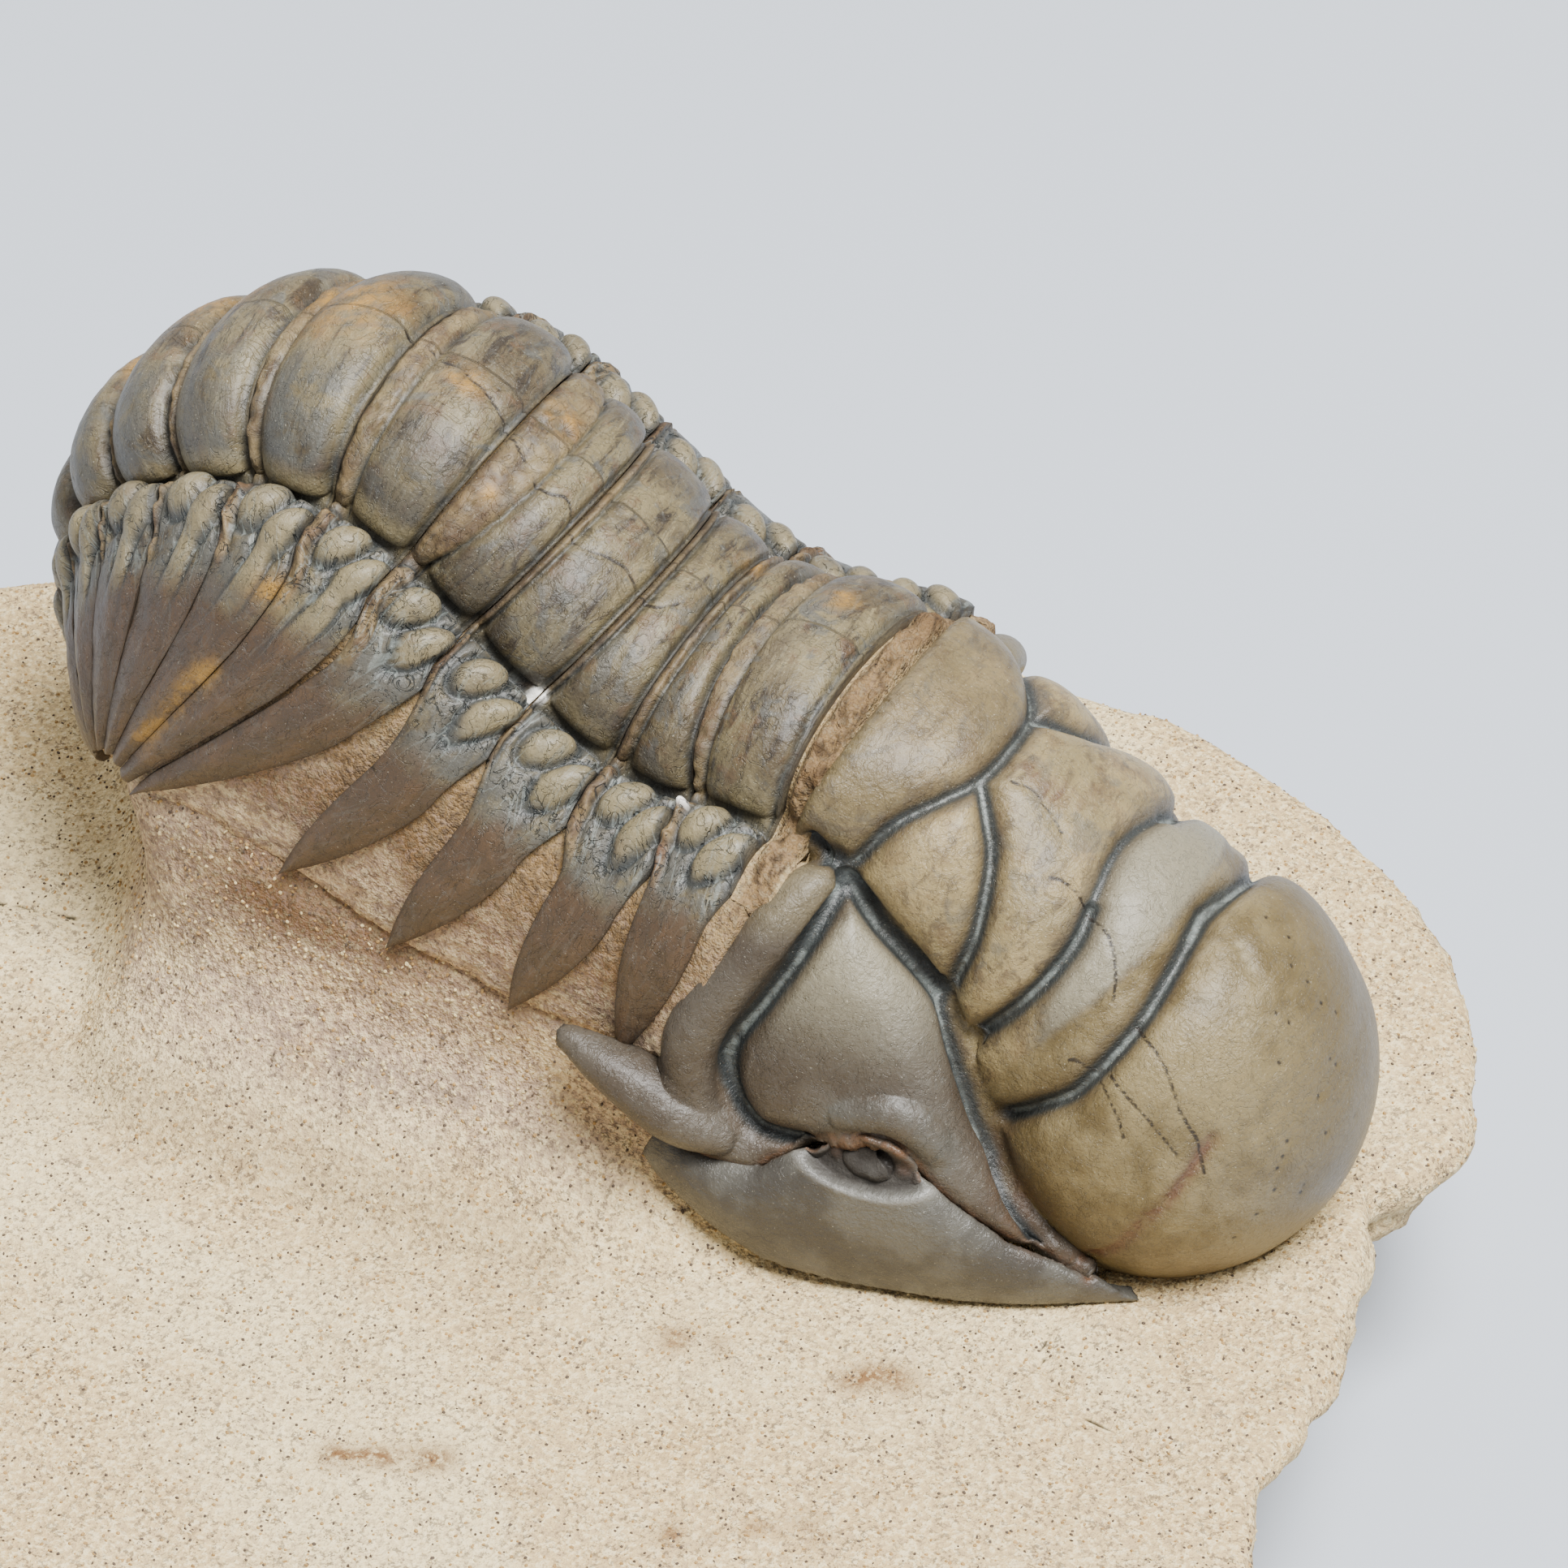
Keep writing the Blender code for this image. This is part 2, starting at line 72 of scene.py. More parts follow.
SPINE_TIP = np.array([(3.5, 14.0, -4.8), (-0.7, 13.0, -5.9), (-6.1, 13.3, -5.5), (-12.3, 13.4, -4.6),
                      (-18.0, 13.2, -3.0), (-26.0, 12.9, -2.1), (-26.5, 12.7, -1.5),
                      (-27.1, 12.4, -1.2), (-27.8, 12.0, -1.3), (-28.5, 11.6, -1.8), (-29.1, 11.1, -2.4),
                      (-29.5, 10.5, -3.2), (-29.8, 9.9, -4.1), (-30.0, 9.3, -5.0)])
# Shift of each station's inner part towards the tail, and the places across between which it fades.
LAG = np.array([0.0, 0.04, 0.09, 0.15, 0.25, 0.27, 0.21, 0.15, 0.05, 0.0, 0.0, 0.0, 0.0, 0.0])
LAG_END = (1.8, 2.4)
# A spine's curve: how far out and down it leaves, and the share and width with which it comes in.
SPINE_LEAD = (2.0, 1.6)
SPINE_LAND = (0.35, 1.2)
FULCRUM_DROP = 0.9
PLEURA_HUMP = 0.7
ARCH_FULLNESS = 0.85
COURSE_STEP = 0.35
FREE_SPINES = 5                 # segments whose spines stand apart from each other
PLATE = 1.8                     # greatest thickness of a plate, and its share of the axis's rise
PLATE_SHARE = 0.4
SPINE_THICKNESS = 0.5

# Glabella sections from the occipital ring forward: furrow x, z, half width, crest x, z.
GLABELLA = np.array([(4.5, 4.6, 7.0, 6.5, 9.1), (8.2, 2.8, 7.0, 10.6, 7.7), (12.2, -0.4, 7.3, 14.8, 5.3),
                     (13.7, -2.6, 7.5, 18.8, 3.2), (14.9, -7.2, 7.7, 22.6, 0.9)])
FRONT_LOBE_CENTRE = np.array([19.6, 0.0, -7.8])
FRONT_LOBE_RADII = np.array([8.5, 9.0, 8.7])
LOBE_BACK_CENTRE = np.array([19.0, 0.0, -6.4])      # fuller part of the lobe, by its rear furrow
LOBE_BACK_RADII = np.array([8.6, 8.6, 8.6])
GLABELLA_END = 3.62

# Right cheek, rear to front: by the axial furrow, on the cheek, along the facial suture, at the margin.
CHEEK = np.array([((5.2, -7.0, 4.3), (4.0, -10.0, 2.4), (1.2, -13.2, -4.2), (-1.2, -14.3, -7.8)),
                  ((7.5, -7.0, 3.0), (6.4, -10.0, 1.2), (4.2, -13.0, -6.3), (3.0, -14.7, -11.3)),
                  ((10.2, -7.2, 1.0), (9.6, -10.2, -0.8), (8.6, -12.8, -7.3), (7.5, -14.6, -13.2)),
                  ((12.4, -7.4, -1.4), (12.2, -10.3, -3.2), (12.6, -12.2, -8.0), (12.6, -13.3, -13.6)),
                  ((14.2, -7.6, -5.0), (14.6, -9.6, -6.5), (16.5, -10.6, -9.4), (17.6, -11.2, -13.8)),
                  ((15.8, -7.3, -9.4), (17.8, -8.1, -10.9), (20.2, -8.7, -12.2), (22.6, -7.9, -14.0))])
GENAL_SPINE = np.array([(5.0, -13.0, -7.9), (3.0, -13.45, -7.2), (1.2, -13.8, -6.4), (-0.7, -14.15, -5.5),
                        (-3.0, -14.3, -4.6)])
GENAL_RADII = np.array([0.9, 1.45, 1.3, 0.8, 0.08])
GENAL_CORNER = ((3.9, -12.1, -3.9), (3.2, -12.7, -5.0), (2.7, -13.1, -6.1), (3.2, -13.3, -7.3))
GENAL_CORNER_RADII = (0.5, 0.85, 1.0, 0.9)
# Facial suture as a place on the cheek: rows, and the column that it follows there.
SUTURE_ROWS = (0.0, 0.82, 1.22, 1.6, 1.7, 2.08, 2.5, 2.9, 3.24, 3.4, 3.72, 4.16, 4.68, 5.0)
SUTURE_COLUMNS = (2.6, 2.46, 2.38, 2.28, 2.16, 1.90, 1.72, 1.62, 1.70, 1.84, 2.02, 2.20, 2.16, 2.14)

# Lines on the right half of the head. Each is followed by its share of the full depth.
HEAD_FURROWS = (
    (((7.0, -7.2, 3.4), (8.7, -5.9, 6.1), (10.1, -4.2, 6.9), (11.1, -2.5, 7.2), (11.4, -0.9, 7.4),
      (11.4, 0.0, 7.4)), 0.75),
    (((11.3, -2.5, 7.1), (12.2, -3.6, 6.1), (12.9, -4.6, 5.1), (13.2, -6.6, 2.5),
      (12.4, -7.3, -0.4)), 0.85),
    (((13.7, -7.5, -2.7), (15.8, -7.0, -0.1), (17.1, -5.1, 2.2), (17.2, -3.4, 3.4)), 1.0),
    (((17.1, -3.4, 3.4), (16.9, -1.5, 4.1), (16.8, 0.0, 4.3)), 0.62),
    (((15.5, -7.7, -6.2), (17.3, -7.8, -4.6), (18.9, -7.5, -3.1), (20.4, -5.3, -0.8), (20.9, -2.9, 1.2),
      (20.8, 0.0, 2.0)), 1.0),
    (((5.4, -7.0, 4.6), (7.2, -7.0, 3.3), (9.2, -7.4, 1.6), (12.0, -7.4, -0.9), (13.2, -8.0, -3.0),
      (14.5, -8.4, -5.9), (15.2, -8.5, -7.6), (16.6, -9.4, -9.2), (18.2, -9.7, -10.8)), 1.0),
    (((7.2, -7.4, 3.0), (6.6, -10.1, 0.9), (5.5, -11.3, -1.5), (4.5, -12.2, -3.7), (4.7, -12.7, -5.6),
      (6.1, -13.0, -7.1), (8.4, -12.8, -7.1)), 1.1))
BORDER_BAND = ((6.6, -6.9, 3.8), (5.5, -9.7, 2.0), (3.8, -11.5, -0.9), (2.9, -12.6, -4.0),
               (3.5, -13.2, -6.9))
BORDER_BAND_RADIUS = (0.8, 1.0, 1.1, 1.1, 0.8)
PALPEBRAL_LOBE = ((9.6, -12.0, -5.4), (10.7, -11.6, -5.0), (11.9, -11.2, -4.8), (13.1, -10.9, -5.5),
                  (14.0, -10.8, -6.8))
PALPEBRAL_RADIUS = (0.3, 0.55, 0.68, 0.62, 0.35)
EYE = np.array([11.4, -12.3, -7.1])
EYE_ALONG = np.array([0.975, 0.215, -0.085])
EYE_RADII = (1.3, 0.8)
EYE_HOLLOW = np.array([11.2, -12.5, -7.3])      # the wider hollow round the eye
EYE_HOLLOW_RADII = (2.9, 1.15)
EYE_FURROW = ((7.1, -13.4, -8.7), (9.1, -13.4, -9.7), (11.3, -13.0, -9.6), (13.3, -12.2, -9.0),
              (14.1, -11.6, -8.3))
SUTURE_LINE = ((2.8, -14.0, -8.6), (4.5, -13.8, -9.0), (6.4, -13.6, -8.9), (7.1, -13.3, -8.1),
               (9.0, -12.5, -6.7), (10.7, -12.0, -5.9), (12.1, -11.7, -5.8), (13.3, -11.5, -6.8),
               (14.0, -11.4, -7.7), (15.4, -11.1, -9.0), (17.5, -10.4, -10.6), (19.7, -9.2, -11.8))
HEAD_CRACKS = (
    ((18.4, -6.9, -2.2), (18.9, -6.8, -2.2), (20.5, -7.4, -2.9), (21.4, -8.0, -4.3)),
    ((20.4, -5.2, -0.7), (21.3, -5.5, -1.1), (22.7, -6.2, -2.3), (24.0, -6.7, -4.1), (24.6, -7.0, -5.6)),
    ((20.0, -6.8, -2.2), (20.8, -7.0, -2.5), (22.3, -7.3, -3.5), (23.6, -7.3, -4.8)),
    ((15.2, -4.0, 4.6), (16.0, -3.6, 4.3), (17.6, -3.8, 2.9), (18.6, -4.2, 1.6), (19.2, -5.2, 0.4)),
    ((12.2, -1.6, 7.0), (13.0, -1.4, 6.6), (13.8, -1.7, 5.9), (14.7, -2.0, 5.3)))
LOBE_RUST = ((19.8, -8.8, -11.9), (21.3, -8.4, -10.5), (22.6, -8.4, -8.2), (23.6, -7.9, -6.7),
             (24.2, -7.0, -5.2), (24.6, -6.3, -4.2))
# Pits of the front lobe: turn from straight ahead and rise above the level, in degrees.
LOBE_PITS = ((24, 69), (18, 62), (4, 58), (5, 52), (-18, 52), (-14, 48), (4, 45), (8, 39), (-24, 40),
             (-4, 31), (-2, 28), (-13, 24), (0, 8), (-27, 17), (-29, 13), (-31, 10), (-32, 3), (-13, 12),
             (-22, -1), (-37, -4), (-43, -12), (-23, -3))
LOBE_CHIP = ((-12, 71), (-15, 68), (-17, 65))
# Its browner side is partly the lobe's own colour and partly painted shade.
LOBE_BROWN_WAY = np.array([0.87, 0.48, -0.10])      # the front lobe is browner on this side

# Slab seen from above, with how far the underside is set in below each corner.
SLAB_OUTLINE = np.array([
    (-52.0, -2.0, 7), (-50.5, 5.0, 7), (-46.0, 9.6, 7), (-39.0, 17.0, 7), (-30.0, 22.6, 7),
    (-19.0, 25.2, 7), (-8.0, 26.4, 8), (1.5, 26.6, 8), (7.4, 27.0, 9), (12.3, 25.8, 10),
    (18.5, 23.4, 11), (24.8, 18.6, 12), (28.8, 13.5, 13), (30.5, 9.1, 13), (30.3, 5.5, 13),
    (28.9, 3.4, 13), (30.2, -0.5, 13), (31.4, -6.0, 14), (32.4, -11.0, 14), (32.2, -15.0, 14),
    (34.6, -19.5, 14), (36.0, -25.5, 13), (34.5, -32.0, 11), (29.0, -38.0, 9), (20.0, -43.0, 8),
    (9.0, -47.5, 8), (-3.0, -50.0, 7), (-15.0, -49.5, 7), (-26.0, -43.5, 7), (-36.0, -35.0, 7),
    (-44.0, -24.0, 7), (-50.0, -13.0, 7)])
SLAB_MIDDLE = np.array([-8.0, -11.5])
# Pedestal sections along x: height of the top, half width at the top, at the waist and at the foot.
PEDESTAL = np.array([
    (-36.5, -13.9, 1.0, 1.5, 2.0), (-33.0, -12.0, 3.0, 3.4, 6.4), (-31.4, -7.5, 4.6, 3.8, 9.2),
    (-30.2, -4.6, 6.4, 4.8, 11.4), (-29.2, -3.6, 8.4, 6.4, 13.0), (-27.4, -2.6, 11.2, 9.8, 16.2),
    (-25.4, -2.2, 12.4, 13.0, 19.4), (-22.0, -2.3, 12.6, 14.2, 21.6), (-18.0, -3.0, 12.7, 14.4, 22.2),
    (-12.0, -4.4, 12.8, 14.3, 21.6), (-6.0, -5.2, 12.7, 13.8, 20.6), (-0.5, -5.6, 12.4, 13.4, 19.0),
    (2.4, -6.4, 11.4, 13.0, 17.0), (6.0, -7.6, 10.4, 12.2, 14.6), (9.5, -9.6, 10.2, 11.4, 12.6),
    (13.0, -11.6, 9.0, 9.8, 10.6), (16.0, -13.2, 7.0, 7.6, 8.2)])
PEDESTAL_WAIST = -8.5
SLAB_CRACKS = (((19.8, -11.5, -14.0), (20.9, -13.4, -14.0), (23.5, -14.8, -14.0), (25.3, -15.2, -14.0),
                (28.6, -16.8, -14.0), (32.9, -17.3, -14.0)),
               ((-50.0, -14.0, -14.0), (-42.0, -12.6, -14.0), (-35.0, -11.6, -14.0), (-29.1, -9.7, -14.0)))
OCHRE_STREAKS = (((11.8, -29.7, -14.0), (14.2, -28.0, -14.0), (16.8, -26.8, -14.0)),
                 ((13.9, -18.2, -14.0), (14.8, -17.4, -14.0), (15.7, -17.2, -14.0)),
                 ((6.0, -20.0, -14.0), (7.6, -19.4, -14.0)), ((-3.0, -33.0, -14.0), (1.0, -31.0, -14.0)))


# Curves, surfaces and noise, for whole arrays at once

def unit(vectors):
    return vectors / np.maximum(np.linalg.norm(vectors, axis=-1, keepdims=True), 1e-12)


def smooth(values, low, high):
    """0 at low, 1 at high, with soft ends; low may be above high."""
    part = np.clip((values - low) / (high - low), 0.0, 1.0)
    return part * part * (3.0 - 2.0 * part)


def bell(values, width):
    return np.exp(-(values / width) ** 2)


def dome(values, power=2.6):
    """1 in the middle, 0 at -1 and 1 and beyond, with full shoulders."""
    return np.maximum(1.0 - np.abs(values) ** power, 0.0) ** 0.7


def rows_of(table, station):
    """The row before each station, and how far past it the station lies."""
    station = np.clip(np.asarray(station, float), 0.0, len(table) - 1.0)
    row = np.minimum(station.astype(int), len(table) - 2)
    part = (station - row).reshape(station.shape + (1,) * (table.ndim - 1))
    return row, part


def along(table, station):
    """Catmull-Rom reading of a table at stations that need not be whole."""
    row, part = rows_of(table, station)
    before, here, after, beyond = (table[np.clip(row + k, 0, len(table) - 1)] for k in (-1, 0, 1, 2))
    bend = 2 * before - 5 * here + 4 * after - beyond
    twist = 3 * here - before - 3 * after + beyond
    return 0.5 * (2 * here + (after - before) * part + bend * part ** 2 + twist * part ** 3)


def between(table, station):
    """Straight-line reading of a table."""
    row, part = rows_of(table, station)
    return table[row] + (table[row + 1] - table[row]) * part


def back_point(station, across):
    """Points and outward normals on the back: across is 0 at the crest, 1 at the axial furrow,
    2 at the fulcrum and 3 at the spine's tip, and its sign is the side."""
    station, across = np.broadcast_arrays(np.asarray(station, float), np.asarray(across, float))
    reach = np.abs(across)
    fade = np.clip((LAG_END[1] - reach) / (LAG_END[1] - LAG_END[0]), 0.0, 1.0)
    station = station + along(LAG, station) * fade
    course = unit(along(FURROW, station + COURSE_STEP) - along(FURROW, station - COURSE_STEP))
    nothing = np.zeros_like(reach)
    run = np.stack([course[..., 0], nothing, course[..., 1]], -1)
    up = np.stack([course[..., 1], nothing, -course[..., 0]], -1)
    out = np.array([0.0, 1.0, 0.0])
    furrow = along(FURROW, station)
    root = np.stack([furrow[..., 0], nothing, furrow[..., 1]], -1)
    half, rise = along(AXIS_HALF_WIDTH, station)[..., None], along(AXIS_RISE, station)[..., None]
    pleura, tip = along(PLEURA_WIDTH, station)[..., None], between(SPINE_TIP, station)
    reach = reach[..., None]

    angle = np.clip(reach, 0.0, 1.0) * math.pi / 2
    ring = root + out * half * np.sin(angle) + up * rise * np.maximum(np.cos(angle), 0) ** ARCH_FULLNESS
    ring_normal = unit(out * np.sin(angle) / half + up * np.cos(angle) / rise)

    part = np.clip(reach - 1.0, 0.0, 1.0)
    hump = PLEURA_HUMP * np.sin(math.pi * part) - FULCRUM_DROP * part
    flank = root + out * (half + pleura * part) + up * hump
    flank_normal = unit(up + out * 0.3 * part)

    part = np.clip(reach - 2.0, 0.0, 1.0)
    start = root + out * (half + pleura) - up * FULCRUM_DROP
    lead = start + out * SPINE_LEAD[0] - up * SPINE_LEAD[1]
    land = tip + (start - tip) * SPINE_LAND[0] + out * SPINE_LAND[1]
    spine = ((1 - part) ** 3 * start + 3 * (1 - part) ** 2 * part * lead
             + 3 * (1 - part) * part ** 2 * land + part ** 3 * tip)
    heading = ((1 - part) ** 2 * (lead - start) + 2 * (1 - part) * part * (land - lead)
               + part ** 2 * (tip - land))
    spine_normal = unit(np.cross(heading, run))

    inner, middle = reach <= 1.0, reach <= 2.0
    point = np.where(inner, ring, np.where(middle, flank, spine))
    normal = np.where(inner, ring_normal, np.where(middle, flank_normal, spine_normal))
    side = np.where(across < 0, -1.0, 1.0)
    flip = np.stack([np.ones_like(side), side, np.ones_like(side)], -1)
    return point * flip, normal * flip


def glabella_point(row, degrees):
    row, degrees = np.broadcast_arrays(np.asarray(row, float), np.asarray(degrees, float))
    section, angle = along(GLABELLA, row), np.radians(degrees)
    height = np.maximum(np.cos(angle), 0.0) ** ARCH_FULLNESS
    return np.stack([section[..., 0] + (section[..., 3] - section[..., 0]) * height,
                     section[..., 2] * np.sin(angle),
                     section[..., 1] + (section[..., 4] - section[..., 1]) * height], -1)


def value_noise(points, seed):
    """Smooth noise from -1 to 1 with one lump for each unit of length."""
    base = np.floor(points)
    part = points - base
    part = part * part * (3.0 - 2.0 * part)
    base = base.astype(np.int64)
    total = 0.0
    for corner in np.ndindex(2, 2, 2):
        key = (base + corner) @ np.array([73856093, 19349663, 83492791]) + seed * 7919
        key = (key ^ (key >> 13)) * 1274126177 & 0xFFFFFFFF
        key = (key ^ (key >> 16)) * 668265263 & 0xFFFFFFFF
        weight = np.prod(np.where(corner, part, 1.0 - part), axis=-1)
        total = total + weight * ((key >> 8) / 8388607.5 - 1.0)
    return total


def ripple(points, size, seed=0, octaves=3):
    """Layered noise whose largest lumps are size millimetres wide."""
    layers = [value_noise(points * (2 ** k / size) + 17.3 * k, seed + k) / 2 ** k for k in range(octaves)]
    return sum(layers) / 1.6


# Meshes from arrays

def loft_faces(rings, count):
    """Faces round rings of count points each, closed by a fan at both ends round two more points."""
    start = np.arange(rings - 1)[:, None] * count + np.arange(count)
    after = np.arange(rings - 1)[:, None] * count + (np.arange(count) + 1) % count
    quads = np.stack([start, after, after + count, start + count], -1).reshape(-1, 4)
    first, second = np.arange(count), (np.arange(count) + 1) % count
    near = np.stack([second, first, np.full(count, rings * count)], -1)
    far = np.stack([first, second, np.full(count, rings * count + 1)], -1)
    far[:, :2] += (rings - 1) * count
    return quads, np.concatenate([near, far])


def close_loft(grid):
    """Points and faces of a closed body through rings of points."""
    quads, fans = loft_faces(grid.shape[0], grid.shape[1])
    ends = np.stack([grid[0].mean(0), grid[-1].mean(0)])
    return np.concatenate([grid.reshape(-1, 3), ends]), quads, fans


def signed_volume(points, quads, fans):
    faces = np.concatenate([quads[:, [0, 1, 2]], quads[:, [0, 2, 3]], fans])
    a, b, c = (points[faces[:, k]] for k in range(3))
    return np.einsum("ij,ij->", a, np.cross(b, c))


def plain_mesh(name, points, quads, fans=np.zeros((0, 3), int)):
    """Mesh whose faces point outwards, with its points as they are given."""
    if signed_volume(points, quads, fans) < 0:
        quads, fans = quads[:, ::-1], fans[:, ::-1]
    mesh = bpy.data.meshes.new(name)
    mesh.vertices.add(len(points))
    mesh.vertices.foreach_set("co", points.astype(np.float32).ravel())
    mesh.loops.add(quads.size + fans.size)
    mesh.loops.foreach_set("vertex_index", np.concatenate([quads.ravel(), fans.ravel()]).astype(np.int32))
    mesh.polygons.add(len(quads) + len(fans))
    starts = np.concatenate([np.arange(len(quads)) * 4, quads.size + np.arange(len(fans)) * 3])
    mesh.polygons.foreach_set("loop_start", starts.astype(np.int32))
    mesh.update(calc_edges=True)
    mesh.validate()
    return mesh


def new_object(name, mesh):
    obj = bpy.data.objects.new(name, mesh)
    bpy.context.scene.collection.objects.link(obj)
    return obj


def build_mesh(name, shape, marks, material):
    """Object from points in the animal frame, with one attribute for each mark."""
    points, quads, fans = shape
    mesh = plain_mesh(name, (points + PLACE) * MM, quads, fans)
    for mark, values in marks.items():
        if values.ndim == 2:
            attribute = mesh.attributes.new(mark, "FLOAT_VECTOR", "POINT")
            attribute.data.foreach_set("vector", values.astype(np.float32).ravel())
            continue
        attribute = mesh.attributes.new(mark, "FLOAT", "POINT")
        attribute.data.foreach_set("value", np.clip(values, 0.0, 1.0).astype(np.float32).ravel())
    mesh.shade_smooth()
    mesh.materials.append(material)
    return new_object(name, mesh)


def fuse(shapes, voxel, rounds=2):
    """One closed skin round closed shapes that overlap: its points, faces and edges."""
    points, quads, fans, start = [], [], [], 0
    for shape in shapes:
        body, squares, triangles = shape
        if signed_volume(*shape) < 0:
            squares, triangles = squares[:, ::-1], triangles[:, ::-1]
        points.append(body)
        quads.append(squares + start)
        fans.append(triangles + start)
        start += len(body)
    joined = [np.concatenate(part) for part in (points, quads, fans)]
    rough = new_object("rough", plain_mesh("rough", *joined))
    step = rough.modifiers.new("skin", "REMESH")
    step.mode = "VOXEL"
    step.voxel_size = voxel
    step.adaptivity = 0.0
    skin = bpy.data.meshes.new_from_object(rough.evaluated_get(bpy.context.evaluated_depsgraph_get()))
    body = np.empty(len(skin.vertices) * 3, np.float32)
    skin.vertices.foreach_get("co", body)
    body = body.reshape(-1, 3).astype(float)
    corners = np.empty(len(skin.loops), np.int32)
    skin.loops.foreach_get("vertex_index", corners)
    edges = np.empty(len(skin.edges) * 2, np.int32)
    skin.edges.foreach_get("vertices", edges)
    edges = edges.reshape(-1, 2)
    bpy.data.objects.remove(rough)
    bpy.data.meshes.remove(skin)
    faces = corners.reshape(-1, 4)
    for _ in range(rounds):
        body = relax(body, edges, 0.5)
    return body, faces, edges


def relax(values, edges, share):
    """Moves each point's values towards the mean of its neighbours'."""
    total, count = np.zeros_like(values), np.zeros(len(values))
    for one, other in ((0, 1), (1, 0)):
        np.add.at(total, edges[:, one], values[edges[:, other]])
        count += np.bincount(edges[:, one], minlength=len(values))
    mean = total / (count[:, None] if values.ndim > 1 else count)
    return values * (1 - share) + mean * share


def normals_of(points, faces):
    cross = np.cross(points[faces[:, 2]] - points[faces[:, 0]], points[faces[:, 3]] - points[faces[:, 1]])
    total = np.zeros_like(points)
    for corner in range(4):
        np.add.at(total, faces[:, corner], cross)
    return unit(total)


def dense(points, step=0.12):
    """A smooth line through a few given points, as points step millimetres apart."""
    points = np.asarray(points, float)
    length = np.linalg.norm(np.diff(points, axis=0), axis=1).sum()
    return along(points, np.linspace(0, len(points) - 1, max(int(length / step), 3)))


def wander(line, amount, size=1.3):
    """The line with small bends, as cracks have."""
    bends = [ripple(line, size, 171 + k, 2) for k in range(3)]
    return line + amount * np.column_stack(bends)


def distance_to(points, line):
    """Distance of each point to a line of points, no more than LINE_REACH."""
    far = np.full(len(points), LINE_REACH)
    near = np.all((points > line.min(0) - LINE_REACH) & (points < line.max(0) + LINE_REACH), axis=1)
    for start in range(0, len(line), 40):
        batch = line[start:start + 40]
        gap = np.linalg.norm(points[near][:, None] - batch[None], axis=2).min(1)
        far[near] = np.minimum(far[near], gap)
    return far


def nearest_of(points, lines):
    """Distance of each point to the nearest of several lines."""
    nearest = np.full(len(points), LINE_REACH)
    for line in lines:
        nearest = np.minimum(nearest, distance_to(points, line))
    return nearest


def snap(line, points, normals):
    """The line moved along the normals onto a surface."""
    box = np.all((points > line.min(0) - 2.0) & (points < line.max(0) + 2.0), axis=1)
    if not box.any():
        return line
    close, facing = points[box], normals[box]
    spots = []
    for spot in line:
        nearest = np.argmin(((close - spot) ** 2).sum(1))
        spots.append(spot + facing[nearest] * np.dot(close[nearest] - spot, facing[nearest]))
    spots = np.array(spots)
    if len(spots) > 2:
        spots[1:-1] = 0.25 * spots[:-2] + 0.5 * spots[1:-1] + 0.25 * spots[2:]
    return spots


def laid_line(corners, points, normals):
    """Distance of each point of a surface to a given line laid on it."""
    return distance_to(points, snap(dense(corners), points, normals))


def fold(points):
    """The points with the left half folded onto the right one."""
    return points * np.array([1.0, 0.0, 1.0]) - np.abs(points) * np.array([0.0, 1.0, 0.0])


# Plates of the back

# Rear edge of each axial ring across its plate, from -0.5 at the front to 0.5: at the crest, at the side.
RING_REAR = np.array([(0.30, 0.30), (0.22, 0.34), (0.30, 0.34), (0.40, 0.44), (0.40, 0.42), (0.02, 0.26),
                      (0.28, 0.30), (0.32, 0.34), (0.36, 0.40), (0.38, 0.40), (0.38, 0.40), (0.38, 0.40),
                      (0.40, 0.40)])
RING_FRONT = -0.465
RING_END = 1.15                 # length over which a ring's end slopes down to the furrow
RING_SINK = 0.30
FURROW_PLACE = 0.42             # the axial furrow's distance outside the line of the axis
FURROW_BEND = 1.9               # how far the furrow swings out round a knob's ends
# Share by which each ring is darkened by painted shade, blue grey and pale at its lower end, from the
# occipital one to the tail.
RING_LOW_SHADE = (0.0, 0.45, 0.85, 1.0, 1.0, 1.0, 0.9, 0.8, 0.3, 0.5, 0.6, 0.6, 0.6)
RING_BLUE = (0.0, 0.0, 0.0, 0.15, 0.3, 0.2, 0.35, 0.95, 0.7, 0.9, 0.7, 0.6, 0.5)
RING_PALE = (0.0, 0.3, 0.1, 0.35, 0.0, 0.1, 0.8, 0.8, 0.7, 0.3, 0.2, 0.2, 0.2)
# Knobs of a pleura: place along the plate, place across, half length, half width, height, turn in degrees.
KNOBS = ((0.07, 1.51, 1.36, 0.82, 0.72, 35.0), (-0.28, 1.73, 1.56, 0.70, 0.66, 38.0))
LATE_KNOBS = ((-0.06, 2.18, 1.30, 0.62, 0.42, 20.0),)
FIRST_LATE = 6
MOAT_DEPTH = 0.24
# Crack along the back, iron stains and bits of calcite: station, place across, and radius in millimetres.
BACK_CRACK = ((6.72, 0.02), (6.10, -0.07), (5.54, -0.15), (5.02, -0.24), (4.75, -0.22), (4.42, -0.31),
              (3.89, -0.23), (3.33, -0.25), (3.05, -0.16))
STAINS = ((7.02, 0.03, 1.9), (7.3, 0.15, 1.2), (8.84, 0.20, 1.7), (8.2, 0.1, 1.2), (6.01, -0.12, 0.9),
          (6.53, -2.15, 0.8), (5.31, -0.44, 0.4), (9.6, 0.1, 1.0),
          (2.3, 0.3, 0.8), (0.9, 0.2, 0.7), (5.3, 0.1, 0.9))
STAINED_BLADE = ((6.60, -2.50), (6.64, -2.66), (6.66, -2.84))
CALCITE = ((3.52, -1.08, 0.45), (1.42, -1.36, 0.32))
CALCITE_HEIGHT = 0.30
BLADE_HALF_WIDTH = 1.55
